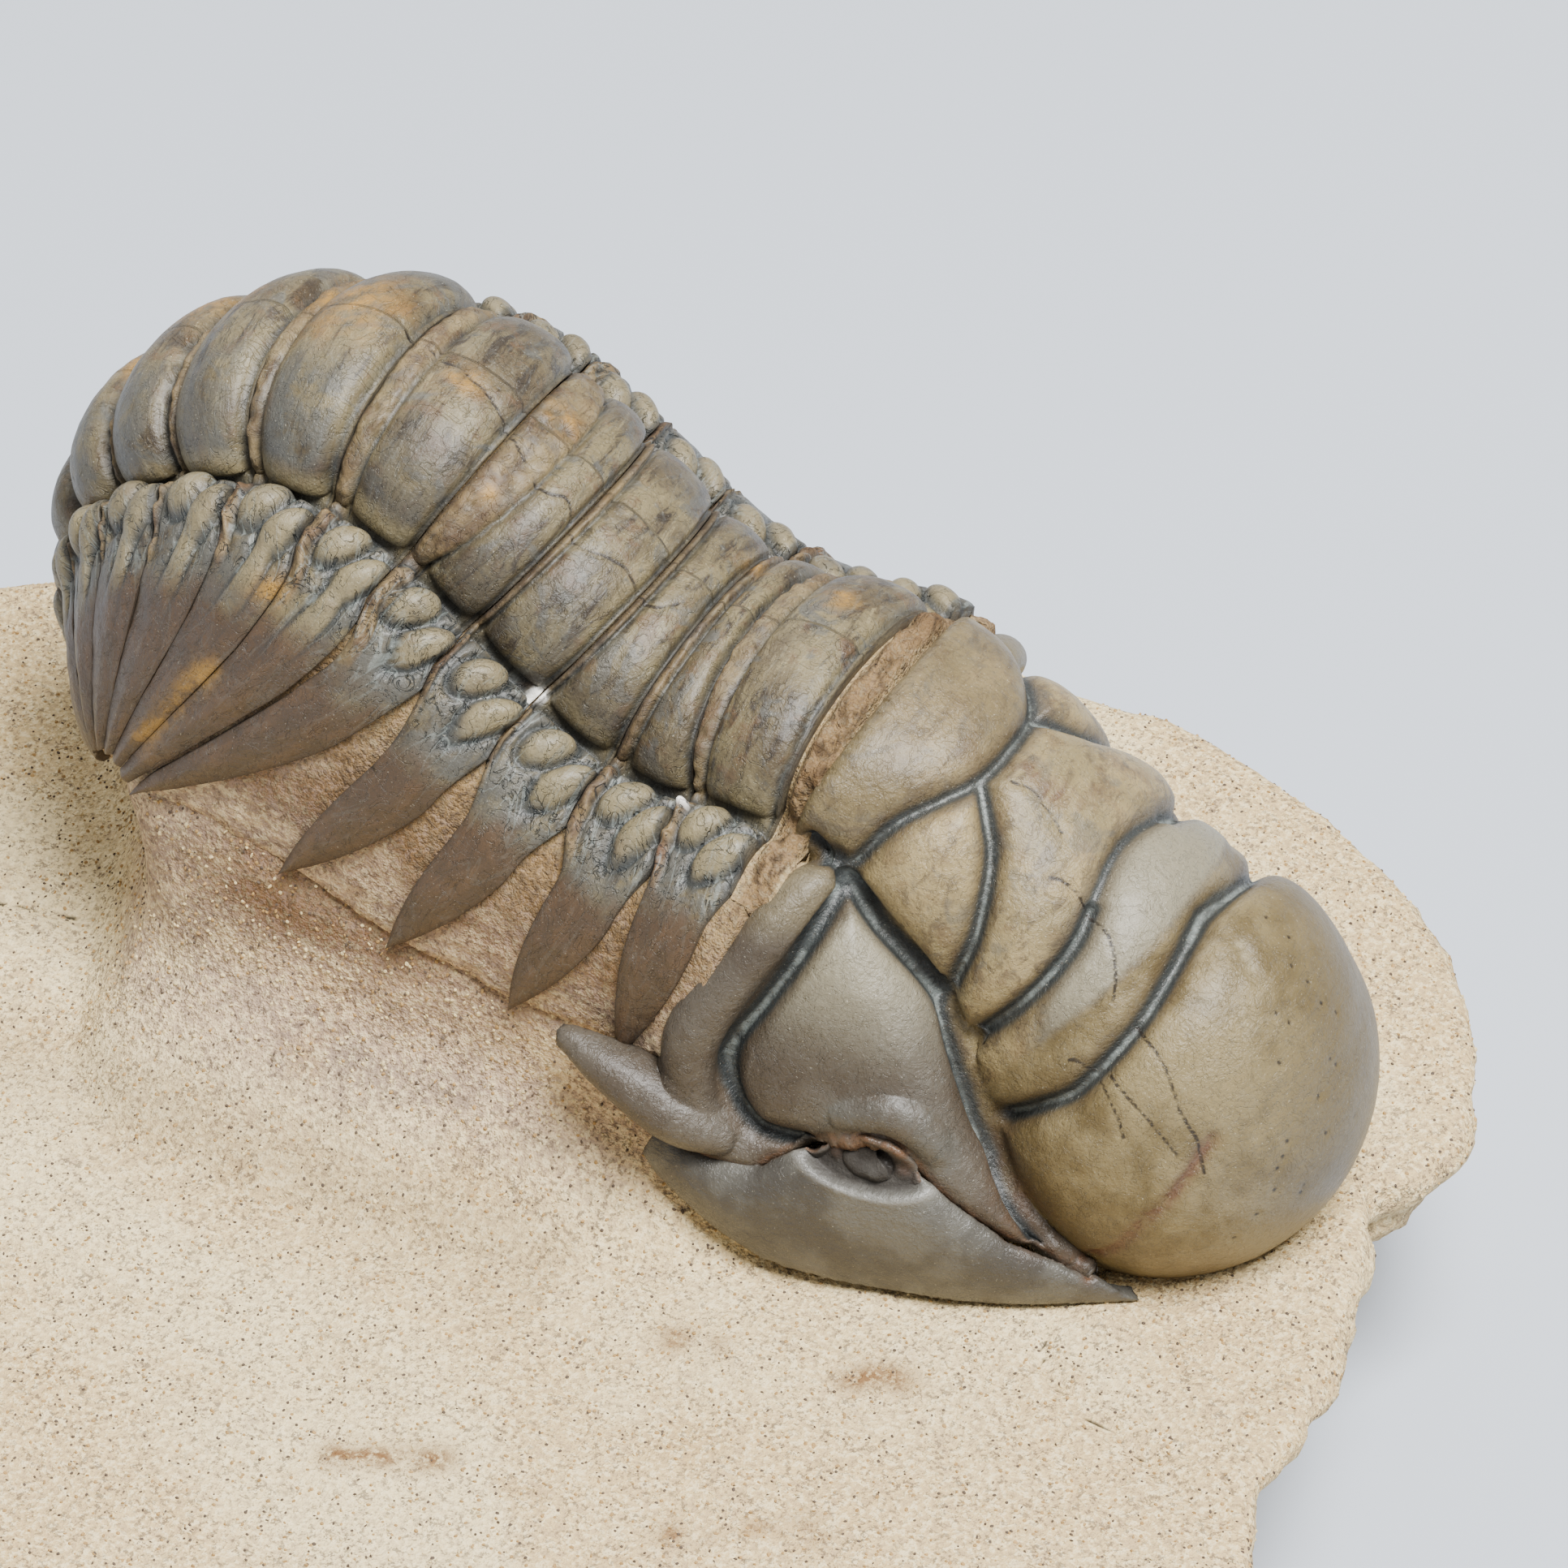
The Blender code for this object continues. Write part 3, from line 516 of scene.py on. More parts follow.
BLADE_ROOT = 0.27               # where on its curve a blade starts; 0.5 is its widest place
BLADE_GAP = 0.12
BLADE_LEAST = 0.02
PLATE_COLUMNS = 35
PLATE_UNDER_COLUMNS = 6
PLATE_PITCH = 9.0               # step of the streaks' coordinates from one plate to the next
GIRTH_STEPS = 500


def back_line(spots):
    """A smooth line on the back through listed stations and places across."""
    spots = np.asarray(spots, float)
    reading = along(spots, np.linspace(0, len(spots) - 1, 40 * (len(spots) - 1)))
    return back_point(reading[:, 0], reading[:, 1])[0]


def girth_table(number):
    """Places across the middle of a plate, and their distance in millimetres from the axial furrow."""
    fine = np.linspace(0.0, 3.0, 3 * GIRTH_STEPS + 1)
    points, _ = back_point(float(number), fine)
    length = np.concatenate([[0.0], np.cumsum(np.linalg.norm(np.diff(points, axis=0), axis=1))])
    return fine, length - length[GIRTH_STEPS]


def girth(number, across):
    return np.interp(across, *girth_table(number))


def across_values(number, step):
    """Values of across from tip to tip, step millimetres apart."""
    fine, length = girth_table(number)
    half = np.interp(np.arange(length[0] + step / 2, length[-1] - 0.05, step), length, fine)
    return np.concatenate([-half[::-1], half])


def blade_half_width(spine):
    """Half width of a free spine, shaped like a leaf."""
    return BLADE_HALF_WIDTH * np.sin(math.pi * (BLADE_ROOT + (1 - BLADE_ROOT) * spine)) ** 0.85


def plate_base(number, front, rear, place, across):
    """Points and normals over a plate: place runs from -0.5 at its front edge to 0.5."""
    middle, span = 0.5 * (front + rear), rear - front
    point, normal = back_point(middle + place[None, :] * span, across[:, None])
    if number > FREE_SPINES:
        return point, normal
    spine = np.maximum(np.abs(across) - 2.0, 0.0)
    centre, level = back_point(middle, across)
    ahead, _ = back_point(middle, across * 1.004)
    ends = [back_point(station, across)[0] for station in (front, rear)]
    width = unit(np.cross(ahead - centre, level))
    width *= np.sign(np.einsum("ij,ij->i", width, ends[1] - ends[0]))[:, None]
    wanted = blade_half_width(spine)
    halves = []
    for end in ends:
        room = np.abs(np.einsum("ij,ij->i", end - centre, width)) - BLADE_GAP
        halves.append(np.clip(np.minimum(room, wanted), BLADE_LEAST, None))
    reach = np.where(place[None, :] < 0, halves[0][:, None], halves[1][:, None]) * 2 * place[None, :]
    blade = centre[:, None] + width[:, None] * reach[..., None]
    share = smooth(spine, 0.0, 0.3)[:, None, None]
    return point * (1 - share) + blade * share, unit(normal * (1 - share) + level[:, None] * share)


def axial_ring(number, place, reach, bend, shake, size):
    """Height of a plate's axial ring, its area, the place across it and its rear edge."""
    crest, side = RING_REAR[number]
    rear = side + (crest - side) * np.clip(1.0 - reach ** 2, 0.0, 1.0)
    on_ring = smooth(bend, 0.05, -0.35)
    ring_place = (place - 0.5 * (rear + RING_FRONT)) / (0.5 * (rear - RING_FRONT))
    end = np.clip(-bend / RING_END, 0.0, 1.0)
    end = np.sqrt(1.0 - (1.0 - end) ** 2)
    late = np.array(float(number))
    swell = size.ring_swell * (1.0 + 0.8 * smooth(late, 5.0, 7.5))
    lean = 0.16 * smooth(late, 5.0, 7.0)
    profile = dome(ring_place + lean * (1 - ring_place ** 2) + 0.05 * shake, 2.3)
    height = on_ring * swell * profile * (0.15 + 0.85 * end)
    height -= on_ring * RING_SINK * (1.0 - end)
    return height, on_ring, ring_place, rear


def knob_field(place, across, pitch, width, knob):
    """How far each point is from a knob's middle, 1 at its rim."""
    at, out, long, wide, _, turn = knob
    forward, outward = (place - at) * pitch, (np.abs(across) - out) * width
    turn = math.radians(turn)
    lengthwise = outward * math.cos(turn) + forward * math.sin(turn)
    crosswise = forward * math.cos(turn) - outward * math.sin(turn)
    return np.hypot(lengthwise / long, crosswise / wide)


def add_knobs(height, number, place, across, pitch, shake):
    """Height with the knobs on it, their area and that of the moats round them."""
    knob_mark, moat = np.zeros_like(height), np.zeros_like(height)
    pleura = along(PLEURA_WIDTH, float(number))
    for knob in KNOBS + (LATE_KNOBS if number >= FIRST_LATE else ()):
        field = knob_field(place, across[:, None], pitch, pleura, knob) * (1.0 + 0.13 * shake)
        swell = np.maximum(1.0 - field ** 2, 0.0) ** 0.75
        height = np.maximum(height, (knob[4] - 0.10) * swell - 0.06) * (swell > 0) + height * (swell <= 0)
        moat = np.maximum(moat, bell(field - 1.12, 0.15))
        knob_mark = np.maximum(knob_mark, smooth(field, 1.02, 0.72))
    return height, knob_mark, moat * (1.0 - knob_mark)


def back_stains(points, shake, fine):
    """Marks of the iron stains and of the bits of calcite."""
    amber, white = np.zeros_like(shake), np.zeros_like(shake)
    for station, out, radius in STAINS:
        spot = np.linalg.norm(points - back_point(station, out)[0], axis=-1)
        amber = np.maximum(amber, bell(spot * (1 + 0.35 * fine), radius) * smooth(shake + fine, -0.9, 0.2))
    gap = distance_to(points.reshape(-1, 3), back_line(STAINED_BLADE)).reshape(shake.shape)
    amber = np.maximum(amber, 0.8 * bell(gap * (1 + 0.3 * fine), 0.55))
    for station, out, radius in CALCITE:
        spot = np.linalg.norm(points - back_point(station, out)[0], axis=-1)
        white = np.maximum(white, smooth(spot * (1 + 0.5 * fine), radius, 0.5 * radius))
    return amber, white


def plate_relief(number, place, across, points, size):
    """Height above the plate's base, and marks for its finish."""
    reach = np.abs(across)[:, None] + 0.0 * place[None, :]
    place = place[None, :] + 0.0 * reach
    out_mm = girth(number, np.abs(across))[:, None] + 0.0 * place
    pitch = np.linalg.norm(points[:, -1] - points[:, 0], axis=1)[:, None]
    shake = ripple(points, 2.2, 5 + number, 3)
    fine = ripple(points, 0.55, 40 + number, 3)
    swing = (place + 0.05) ** 2
    bend = out_mm - FURROW_PLACE - FURROW_BEND * swing * np.minimum(1.0, 0.25 + 1.4 * swing)

    height, on_ring, ring_place, rear = axial_ring(number, place, reach, bend, shake, size)
    strip = (place - 0.5 * (rear + 0.5)) / (0.5 * (0.5 - rear))
    on_strip = smooth(place, rear - 0.01, rear + 0.05) * smooth(reach, 2.25, 2.0)
    height += on_strip * (0.18 * dome(strip, 2.0) + 0.17 * fine) * (0.6 + 0.4 * on_ring)

    seam_front = np.abs(place - RING_FRONT + 0.02 * shake) * pitch
    seam_rear = np.abs(place - rear + 0.015 * shake) * pitch
    seams = np.maximum(bell(seam_front, 0.11), bell(seam_rear, 0.10)) * smooth(reach, 2.2, 1.9)
    edge = bell((0.5 - np.abs(place)) * pitch, 0.13)
    spine = smooth(reach, 2.02, 2.32)
    height -= size.seam_depth * np.maximum(seams, edge * (0.6 - 0.35 * spine))
    furrow = bell(bend + 0.10 * shake, size.furrow_width) * smooth(np.abs(bend), 1.5, 0.8)
    height -= size.furrow_depth * furrow * (1.0 - 0.55 * on_strip)

    height, knob_mark, moat = add_knobs(height, number, place, across, pitch, shake)
    on_flank = smooth(bend, -0.1, 0.25) * smooth(reach, 2.5, 2.1)
    height -= MOAT_DEPTH * moat * on_flank
    waves = np.sin((place * 3.1 + reach * 2.3 + 0.9 * shake) * 7.0)
    flank_strip = on_flank * on_strip
    height += flank_strip * 0.13 * waves

    free = number <= FREE_SPINES
    keel = (1.0 - (2 * place) ** 2) if free else (1.0 - np.abs(2 * place) ** 1.5) * 0.8
    height = height * (1 - spine) + spine * (0.30 * keel + 0.06 * shake)
    height += 0.050 * shake + 0.032 * fine

    crack = distance_to(points.reshape(-1, 3), wander(back_line(BACK_CRACK), 0.3)).reshape(height.shape)
    height -= 0.09 * bell(crack, 0.13) * (1 - on_strip * 0.5)
    amber, white = back_stains(points, shake, fine)
    height += CALCITE_HEIGHT * white

    rim = np.maximum(bell(1.0 - np.abs(ring_place), 0.13) * on_ring, 0.0)
    pale_end = RING_PALE[number] * on_ring * smooth(reach + 0.04 * shake, 0.82, 0.93)
    blue_band = RING_BLUE[number] * on_ring * smooth(reach + 0.12 * shake, 0.22, 0.42)
    blue_band = blue_band * smooth(reach, 0.92, 0.80) * smooth(np.abs(ring_place + 0.2 * shake), 0.95, 0.6)
    blue_flank = on_flank * (1.0 - 0.6 * knob_mark) * (1.0 - on_strip) * smooth(reach, 2.45, 2.15)
    # painted shade: the ring's lower ends, towards the axial furrow, are darker
    low = RING_LOW_SHADE[number] * on_ring * smooth(reach, 0.30, 0.9) * (0.8 + 0.6 * shake)
    marks = {
        # furrow mark: the axial furrow, the moats round the knobs and the seams between rings darkened,
        # partly their own dark fill and joints, partly painted shade
        "furrow": np.maximum(furrow * 0.95, np.maximum(seams * 0.8, 0.85 * moat * on_flank)),
        "pale": np.maximum(knob_mark * on_flank * (0.62 + 0.35 * shake + 0.25 * fine),
                           np.maximum(0.45 * rim * smooth(shake + fine, -0.4, 0.6), pale_end)),
        "blue": np.maximum(blue_flank, blue_band),
        "dark": smooth(reach + 0.10 * shake + 0.03 * fine, 2.16, 2.34),
        "sand": on_strip * (0.62 + 0.38 * shake + 0.3 * fine) * (1 - 0.35 * on_ring),
        "rust": smooth(shake, 0.35, 0.9) * on_strip * (1 - on_ring),
        "line": np.maximum(0.5 * edge * (1 - 0.5 * spine), 0.8 * bell(waves, 0.22) * flank_strip),
        "low": low * (1 - 0.7 * pale_end),
        "flank": on_flank * (1 - spine), "crack": 1 - crack / 0.5, "amber": amber, "white": white,
    }
    return height, marks


def plate_depth(number, across):
    spine = np.maximum(np.abs(across) - 2.0, 0.0)
    depth = min(PLATE, PLATE_SHARE * float(along(AXIS_RISE, float(number))))
    return depth + (SPINE_THICKNESS - depth) * np.minimum(1.4 * spine, 1.0)


def plate_shape(number, front, rear, size):
    """Closed plate from spine tip to spine tip, and its marks."""
    across = across_values(number, size.cell)
    place = np.linspace(-0.5, 0.5, PLATE_COLUMNS)
    place = np.sign(place) * 0.5 * (1 - (1 - np.abs(2 * place)) ** 1.15)
    points, normals = plate_base(number, front, rear, place * 0.985, across)
    height, marks = plate_relief(number, place, across, points, size)
    top = points + normals * height[..., None]
    below = np.linspace(0.5, -0.5, PLATE_UNDER_COLUMNS)
    under, under_normals = plate_base(number, front, rear, below * 0.95, across)
    under = under - under_normals * plate_depth(number, across)[:, None, None]
    grid = np.concatenate([top, under], axis=1)
    # the plate's underside: partly dark, as painted shade beneath the plate, and partly sandy
    plain = {"furrow": 0.4, "sand": 0.5}
    filled = {}
    for mark, values in marks.items():
        below_values = np.full(under.shape[:2], plain.get(mark, 0.0))
        ends = np.zeros(2) + float(mark == "dark")
        filled[mark] = np.concatenate([np.concatenate([values, below_values], axis=1).ravel(), ends])
    flow = np.zeros((*grid.shape[:2], 3))
    pitch = np.linalg.norm(points[:, -1] - points[:, 0], axis=1)[:, None]
    flow[:, :len(place), 0] = place * pitch + PLATE_PITCH * number
    flow[:, :, 1] = (girth(number, np.abs(across)) * np.where(across < 0, -1, 1))[:, None]
    filled["flow"] = np.concatenate([flow.reshape(-1, 3), np.zeros((2, 3))]) * MM
    return close_loft(grid), filled


# Head

TUBE_SIDES = 14
EYE_FACING = np.array([0.1, -0.82, 0.56])
EYE_DEPTH = 2.5                 # how far off the eye's plane its relief still counts
CHEEK_UP = np.array([0.2, -0.8, 0.6])
CHEEK_OUT = np.array([0.35, -0.8, 0.5])
CHEEK_ROWS = 91
CHEEK_COLUMNS = 41
FIXED_START, FREE_START = 0.35, 0.6         # first row of a fixed and of a free cheek
FIXED_OVERLAP, FREE_OVERLAP = 0.03, 0.045   # how far either passes the suture, in columns
FIXED_ROOT = np.array([0.0, 1.2, -0.4])     # moves a fixed cheek's inner edge into the glabella
# Rows of the cheek, and there the plate's thickness or how far a free cheek bulges.
CHEEK_DEPTH = ((0, 4, 5), (1.7, 1.4, 0.8))
CHEEK_SWELL = ((0.6, 1.4, 3.6, 5), (0.3, 1, 1, 0.3))
GLABELLA_ROWS = 81
GLABELLA_TURNS = 61
GLABELLA_FLOOR = 12
LOBE_TURNS = 90
LOBE_RISES = 57
LOBE_CAP = 84                   # highest and lowest ring of a lobe, in degrees
OCCIPITAL_LINE, AXIAL_LINE = 0, 5           # their places in HEAD_FURROWS
LOBE_STAIN = ((12.2, -0.9, 7.2), (12.9, -0.8, 6.9), (13.8, -1.0, 6.2))
CORNER_STAIN = ((15.4, -8.6, -7.2), (16.2, -9.0, -8.6), (18.0, -9.4, -10.2))


def lobe_point(turn, rise, centre=FRONT_LOBE_CENTRE, radii=FRONT_LOBE_RADII):
    turn, rise = np.broadcast_arrays(np.radians(turn), np.radians(rise))
    return centre + radii * np.stack(
        [np.cos(turn) * np.cos(rise), np.sin(turn) * np.cos(rise), np.sin(rise)], -1)


def tube(line, radii, flat=1.0):
    """Closed tube along a line, with its own radius at each given point."""
    steps = 10 * (len(line) - 1) + 1
    reading = np.linspace(0, len(line) - 1, steps)
    centre, radius = along(np.asarray(line, float), reading), along(np.asarray(radii, float), reading)
    course = unit(np.gradient(centre, axis=0))
    aside = unit(np.cross(course, np.array([0.0, 0.0, 1.0])))
    level = np.cross(aside, course)
    angle = np.linspace(0, 2 * math.pi, TUBE_SIDES, endpoint=False)[None, :, None]
    ring = aside[:, None] * np.cos(angle) + level[:, None] * np.sin(angle) * flat
    return close_loft(centre[:, None] + ring * radius[:, None, None])


def plate_of(sheet, depth):
    """Closed plate under a sheet of points on the right side of the head."""
    down = unit(np.cross(np.gradient(sheet, axis=0), np.gradient(sheet, axis=1)))
    if np.sum(down * CHEEK_UP) > 0:
        down = -down
    return close_loft(np.concatenate([sheet, (sheet + down * depth)[:, ::-1]], axis=1))


def cheek_part(free):
    """The fixed or the free half of the right cheek, as a closed plate."""
    rows = np.linspace(FREE_START if free else FIXED_START, len(CHEEK) - 1, CHEEK_ROWS)
    seam = np.interp(rows, SUTURE_ROWS, SUTURE_COLUMNS)
    part = np.linspace(0.0, 1.0, CHEEK_COLUMNS)
    seam = seam - FREE_OVERLAP if free else seam + FIXED_OVERLAP
    columns = seam[:, None] + (3.0 - seam[:, None]) * part if free else seam[:, None] * part
    sheet = np.stack([along(line, column) for line, column in zip(along(CHEEK, rows), columns)])
    if free:
        swell = np.interp(rows, *CHEEK_SWELL)[:, None] * np.sin(math.pi * part ** 0.8)
        sheet = sheet + unit(CHEEK_OUT) * swell[..., None]
    else:
        sheet[:, 0] += FIXED_ROOT
    return plate_of(sheet, np.interp(rows, *CHEEK_DEPTH)[:, None, None])


def mirrored(shape):
    points, quads, fans = shape
    return points * MIRROR, quads[:, ::-1], fans[:, ::-1]


def glabella_body():
    rows, degrees = np.linspace(0, GLABELLA_END, GLABELLA_ROWS), np.linspace(-90, 90, GLABELLA_TURNS)
    top = glabella_point(rows[:, None], degrees[None, :])
    section = along(GLABELLA, rows)[:, None]
    part = np.linspace(1, -1, GLABELLA_FLOOR)[None, 1:-1]
    floor = np.stack([section[..., 0] + 0 * part + 0.6, section[..., 2] * part,
                      section[..., 1] - 2.4 * (1 - part ** 2) ** 0.5 - 1.2], -1)
    return close_loft(np.concatenate([top, floor], axis=1))


def lobe_body(centre, radii):
    turn = np.linspace(0, 360, LOBE_TURNS, endpoint=False)
    rise = np.linspace(-LOBE_CAP, LOBE_CAP, LOBE_RISES)
    grid = lobe_point(turn[None, :], rise[:, None], centre, radii)
    grid[..., 2] = np.maximum(grid[..., 2], SLAB_TOP - 0.5)
    return close_loft(grid)


def oval(points, centre, radii):
    """Distance from a spot in its own two radii, height off its plane and place above it."""
    level = unit(EYE_FACING)
    aside = np.cross(level, EYE_ALONG)
    gap = points - centre
    return np.hypot(gap @ EYE_ALONG / radii[0], gap @ aside / radii[1]), gap @ level, gap @ aside


def eye_relief(folded, shake, fine, free):
    """Height of the eye, and the areas of its arch, its hole, the hollow's floor and the hollow's lip."""
    eye, level, above = oval(folded, EYE, EYE_RADII)
    near_eye = np.abs(level) < EYE_DEPTH
    arch = bell(eye + 0.10 * shake - 1.3, 0.30) * smooth(above, -0.5, 0.1) * near_eye
    hole = np.maximum(1 - eye ** 2, 0) ** 0.6 * near_eye
    hollow, _, above = oval(folded, EYE_HOLLOW, EYE_HOLLOW_RADII)
    hollow_floor = smooth(hollow + 0.08 * shake, 1.02, 0.80) * near_eye * free
    lip = bell(hollow - 1.10, 0.09) * smooth(above, 0.1, -0.3) * near_eye * free
    height = 0.30 * arch * (1 + fine) - 0.75 * hole
    height += hole * (0.45 * bell(eye - 0.1, 0.45) + 0.30 * fine)
    height += 0.08 * lip - 0.60 * hollow_floor
    return height, arch, hole, hollow_floor, lip


def lobe_spots(places, points, normals):
    """Distance of each point to the nearest of some spots on the front lobe."""
    spots = [lobe_point(float(turn), float(rise))[None] for turn, rise in places]
    return nearest_of(points, [snap(spot, points, normals) for spot in spots])


def head_areas(points, folded, free):
    """Areas of the cheeks and of the front lobe, and the place towards the lobe's browner side, which also
    takes painted shade.
    """
    if free:
        return np.ones(len(points)), np.zeros(len(points)), np.zeros(len(points))
    axial = np.array(HEAD_FURROWS[AXIAL_LINE][0])
    outer = -folded[:, 1] - np.interp(folded[:, 0], axial[:, 0], -axial[:, 1])
    swollen = np.minimum(np.linalg.norm((points - FRONT_LOBE_CENTRE) / FRONT_LOBE_RADII, axis=1),
                         np.linalg.norm((points - LOBE_BACK_CENTRE) / LOBE_BACK_RADII, axis=1))
    side = np.maximum(smooth(outer, -0.1, 0.25), smooth(folded[:, 0], 16.2, 17.2))
    side = side * smooth(swollen, 1.015, 1.05)
    return side, smooth(swollen, 1.04, 1.015), (points - FRONT_LOBE_CENTRE) @ LOBE_BROWN_WAY


def head_relief(points, normals, size, free):
    """Height of a head plate's relief and its marks; the left half follows the right one."""
    folded = fold(points)
    turned = normals * np.where(points[:, 1:2] > 0, MIRROR, 1.0)
    shake, fine = ripple(points, 2.6, 71), ripple(points, 0.6, 83)
    nearest, cut = np.full(len(points), LINE_REACH), np.zeros(len(points))
    if not free:
        for line, depth in HEAD_FURROWS:
            gap = laid_line(line, folded, turned)
            cut = np.maximum(cut, depth * bell(gap, 0.44 + 0.05 * shake))
            nearest = np.minimum(nearest, gap + 1.2 * (1 - min(depth, 1.0)) ** 2)
    suture = laid_line(SUTURE_LINE, folded, turned)
    cut = np.maximum(cut, 0.35 * bell(suture, 0.28))
    height = size.lobe_swell * (1 - bell(nearest, 1.25)) * (0.0 if free else 1.0)
    height -= size.furrow_depth * cut

    eye_height, arch, hole, hollow_floor, lip = eye_relief(folded, shake, fine, free)
    height += eye_height
    height -= 0.22 * bell(laid_line(EYE_FURROW, folded, turned), 0.38) * free

    crack = nearest_of(points, [snap(wander(dense(line), 0.22), points, normals) for line in HEAD_CRACKS])
    rust = laid_line(LOBE_RUST, points, normals)
    height -= 0.07 * bell(crack, 0.14) + 0.22 * bell(rust, 0.24 + 0.1 * shake)
    pit = lobe_spots(() if free else LOBE_PITS, points, normals)
    chip = lobe_spots(() if free else LOBE_CHIP, points, normals)
    height -= 0.12 * bell(pit, 0.17) + 0.10 * bell(chip, 0.35)
    height += 0.03 * shake + 0.012 * fine

    side, front, away = head_areas(points, folded, free)
    band = distance_to(folded, dense(BORDER_BAND))
    patch = distance_to(points, dense(LOBE_STAIN))
    corner = distance_to(points, dense(CORNER_STAIN))
    rusty = np.maximum(bell(rust, 0.30), 0.85 * arch)
    rusty = np.maximum(rusty, 0.8 * bell(suture, 0.20))
    rusty = np.maximum(rusty, 0.75 * bell(patch, 0.7) * smooth(shake + fine, -0.3, 0.5))
    rusty = np.maximum(rusty, 0.8 * bell(corner, 1.0) * smooth(shake, -0.7, 0.2))
    # high is the upper part of a fixed cheek, which takes a painted sheen: a lighter colour where the light
    # catches it
    high = side * smooth(points[:, 2], -4.5, 1.0) * smooth(band, 1.2, 2.2) * (1 - free)
    groove = np.array(HEAD_FURROWS[OCCIPITAL_LINE][0])
    behind = folded[:, 0] - np.interp(-folded[:, 1], -groove[::-1, 1], groove[::-1, 0])
    ring = smooth(behind, 0.2, -0.5) * (1 - side)
    knuckle = smooth(folded[:, 2], 1.6, 3.2) * smooth(folded[:, 1], -7.1, -7.6)
    lobe = distance_to(folded, dense(PALPEBRAL_LOBE))
    # the front lobe browner towards one side and towards its bottom: partly its own colour, partly painted
    # shade
    brown_and_shade = np.maximum(smooth(away, 0.5, 7.0), 0.7 * smooth(points[:, 2], -8.0, -12.5))
    return height, {
        "seam": 1 - nearest, "crack": 1 - np.minimum(crack, pit * 0.8) / 0.5,
        "cheek": side, "bulb": front, "high": high, "rust": rusty,
        "tan": np.maximum(front * brown_and_shade, 0.45 * ring * smooth(shake, -0.6, 0.4)),
        # low: painted shade on the lower part of the fixed cheeks, and the occipital ring a little darker
        "low": np.maximum(0.35 * ring, 0.75 * side * (1 - high) * (1 - free)),
        # line: the eye's hole and the hollow round it painted near black, partly their own dark broken
        # face, partly painted shade
        "line": np.maximum(smooth(hole, 0.05, 0.5), 0.95 * hollow_floor) * (0.92 + 0.2 * fine),
        # white on the eye's lip: a painted highlight along the lower rim of the hollow
        "white": 0.12 * lip, "blue": bell(lobe, 0.75) * (1 - free),
        "pale": bell(chip, 0.3) + 0.7 * bell(band, 1.4) * knuckle}


def head_shape(shapes, size, free):
    """Skin round the shapes, with the relief of the head; and its marks."""
    body, faces, edges = fuse(shapes, size.head_voxel)
    normals = normals_of(body, faces)
    height, marks = head_relief(body, normals, size, free)
    height = relax(height, edges, 0.4)
    return (body + normals * height[:, None], faces, np.zeros((0, 3), int)), marks


# Rock

OUTLINE_POINTS = 900
# Height of each line of points round the slab, and its share of the underside's inset.
SLAB_LEVELS = ((SLAB_TOP, 0.05), (SLAB_TOP - 0.5, 0.012), (SLAB_TOP - 1.2, 0.0), (SLAB_TOP - 3.0, 0.10),
               (SLAB_TOP - 6.0, 0.35), (SLAB_TOP - 10.0, 0.66), (SLAB_UNDERSIDE + 1.0, 0.92),
               (SLAB_UNDERSIDE + 0.2, 0.97), (SLAB_UNDERSIDE, 1.0))
PEDESTAL_ROWS = 113
PEDESTAL_COLUMNS = 37
# Rock between the plates: its first and last station, and how many it has.
FILL_STATIONS = (0.04, 12.95, 400)
FILL_TIP = 2.97
FILL_COLUMNS = 105
FILL_DEPTH = 2.4
FILL_UNDER = 13                 # the hidden underside takes one column in this many


def closed_curve(points, count):
    """A smooth closed line through corners, as evenly numbered points."""
    ring = np.concatenate([points[-2:], points, points[:3]])
    return along(ring, 2 + np.linspace(0, len(points), count, endpoint=False))


def slab_body():
    outline = closed_curve(SLAB_OUTLINE, OUTLINE_POINTS)
    corner, inset = outline[:, :2], outline[:, 2]
    inward = unit(SLAB_MIDDLE - corner)
    rings = []
    for height, share in SLAB_LEVELS:
        place = corner + inward * (inset * share)[:, None]
        spot = np.column_stack([place, np.full(len(place), height)])
        chip = np.clip(ripple(spot * (1, 1, 0.7), 5.0, 91, 4), -0.2, 1.0)
        bite = 1.1 * np.clip(chip - 0.25, 0, 1) + 0.25 * (1 + ripple(spot, 1.4, 95))
        place = place + inward * bite[:, None]
        rings.append(np.column_stack([place, spot[:, 2]]))
    return close_loft(np.array(rings))


def pedestal_body():
    rows = along(PEDESTAL, np.linspace(0, len(PEDESTAL) - 1, PEDESTAL_ROWS))
    part = np.linspace(0, 6, PEDESTAL_COLUMNS)
    rings = []
    for x, top, half_top, half_waist, half_foot in rows:
        top = max(top, SLAB_TOP + 0.1)
        waist = min(PEDESTAL_WAIST, 0.5 * (top + SLAB_TOP))
        rise = min(1.0, (top - SLAB_TOP) / 6.0)
        side = np.array([
            (0.0, top + 2.8 * rise), (0.7 * half_top, top + 2.4 * rise), (half_top, top),
            (half_waist, waist),
            (0.55 * half_waist + 0.45 * half_foot, 0.35 * waist + 0.65 * SLAB_TOP),
            (half_foot, SLAB_TOP - 0.15), (half_foot, SLAB_TOP - 2.0)])
        half = along(side, part)
        ring = np.concatenate([half, (half * (-1, 1))[::-1]])
        rings.append(np.column_stack([np.full(len(ring), x), ring]))
    return close_loft(np.array(rings))


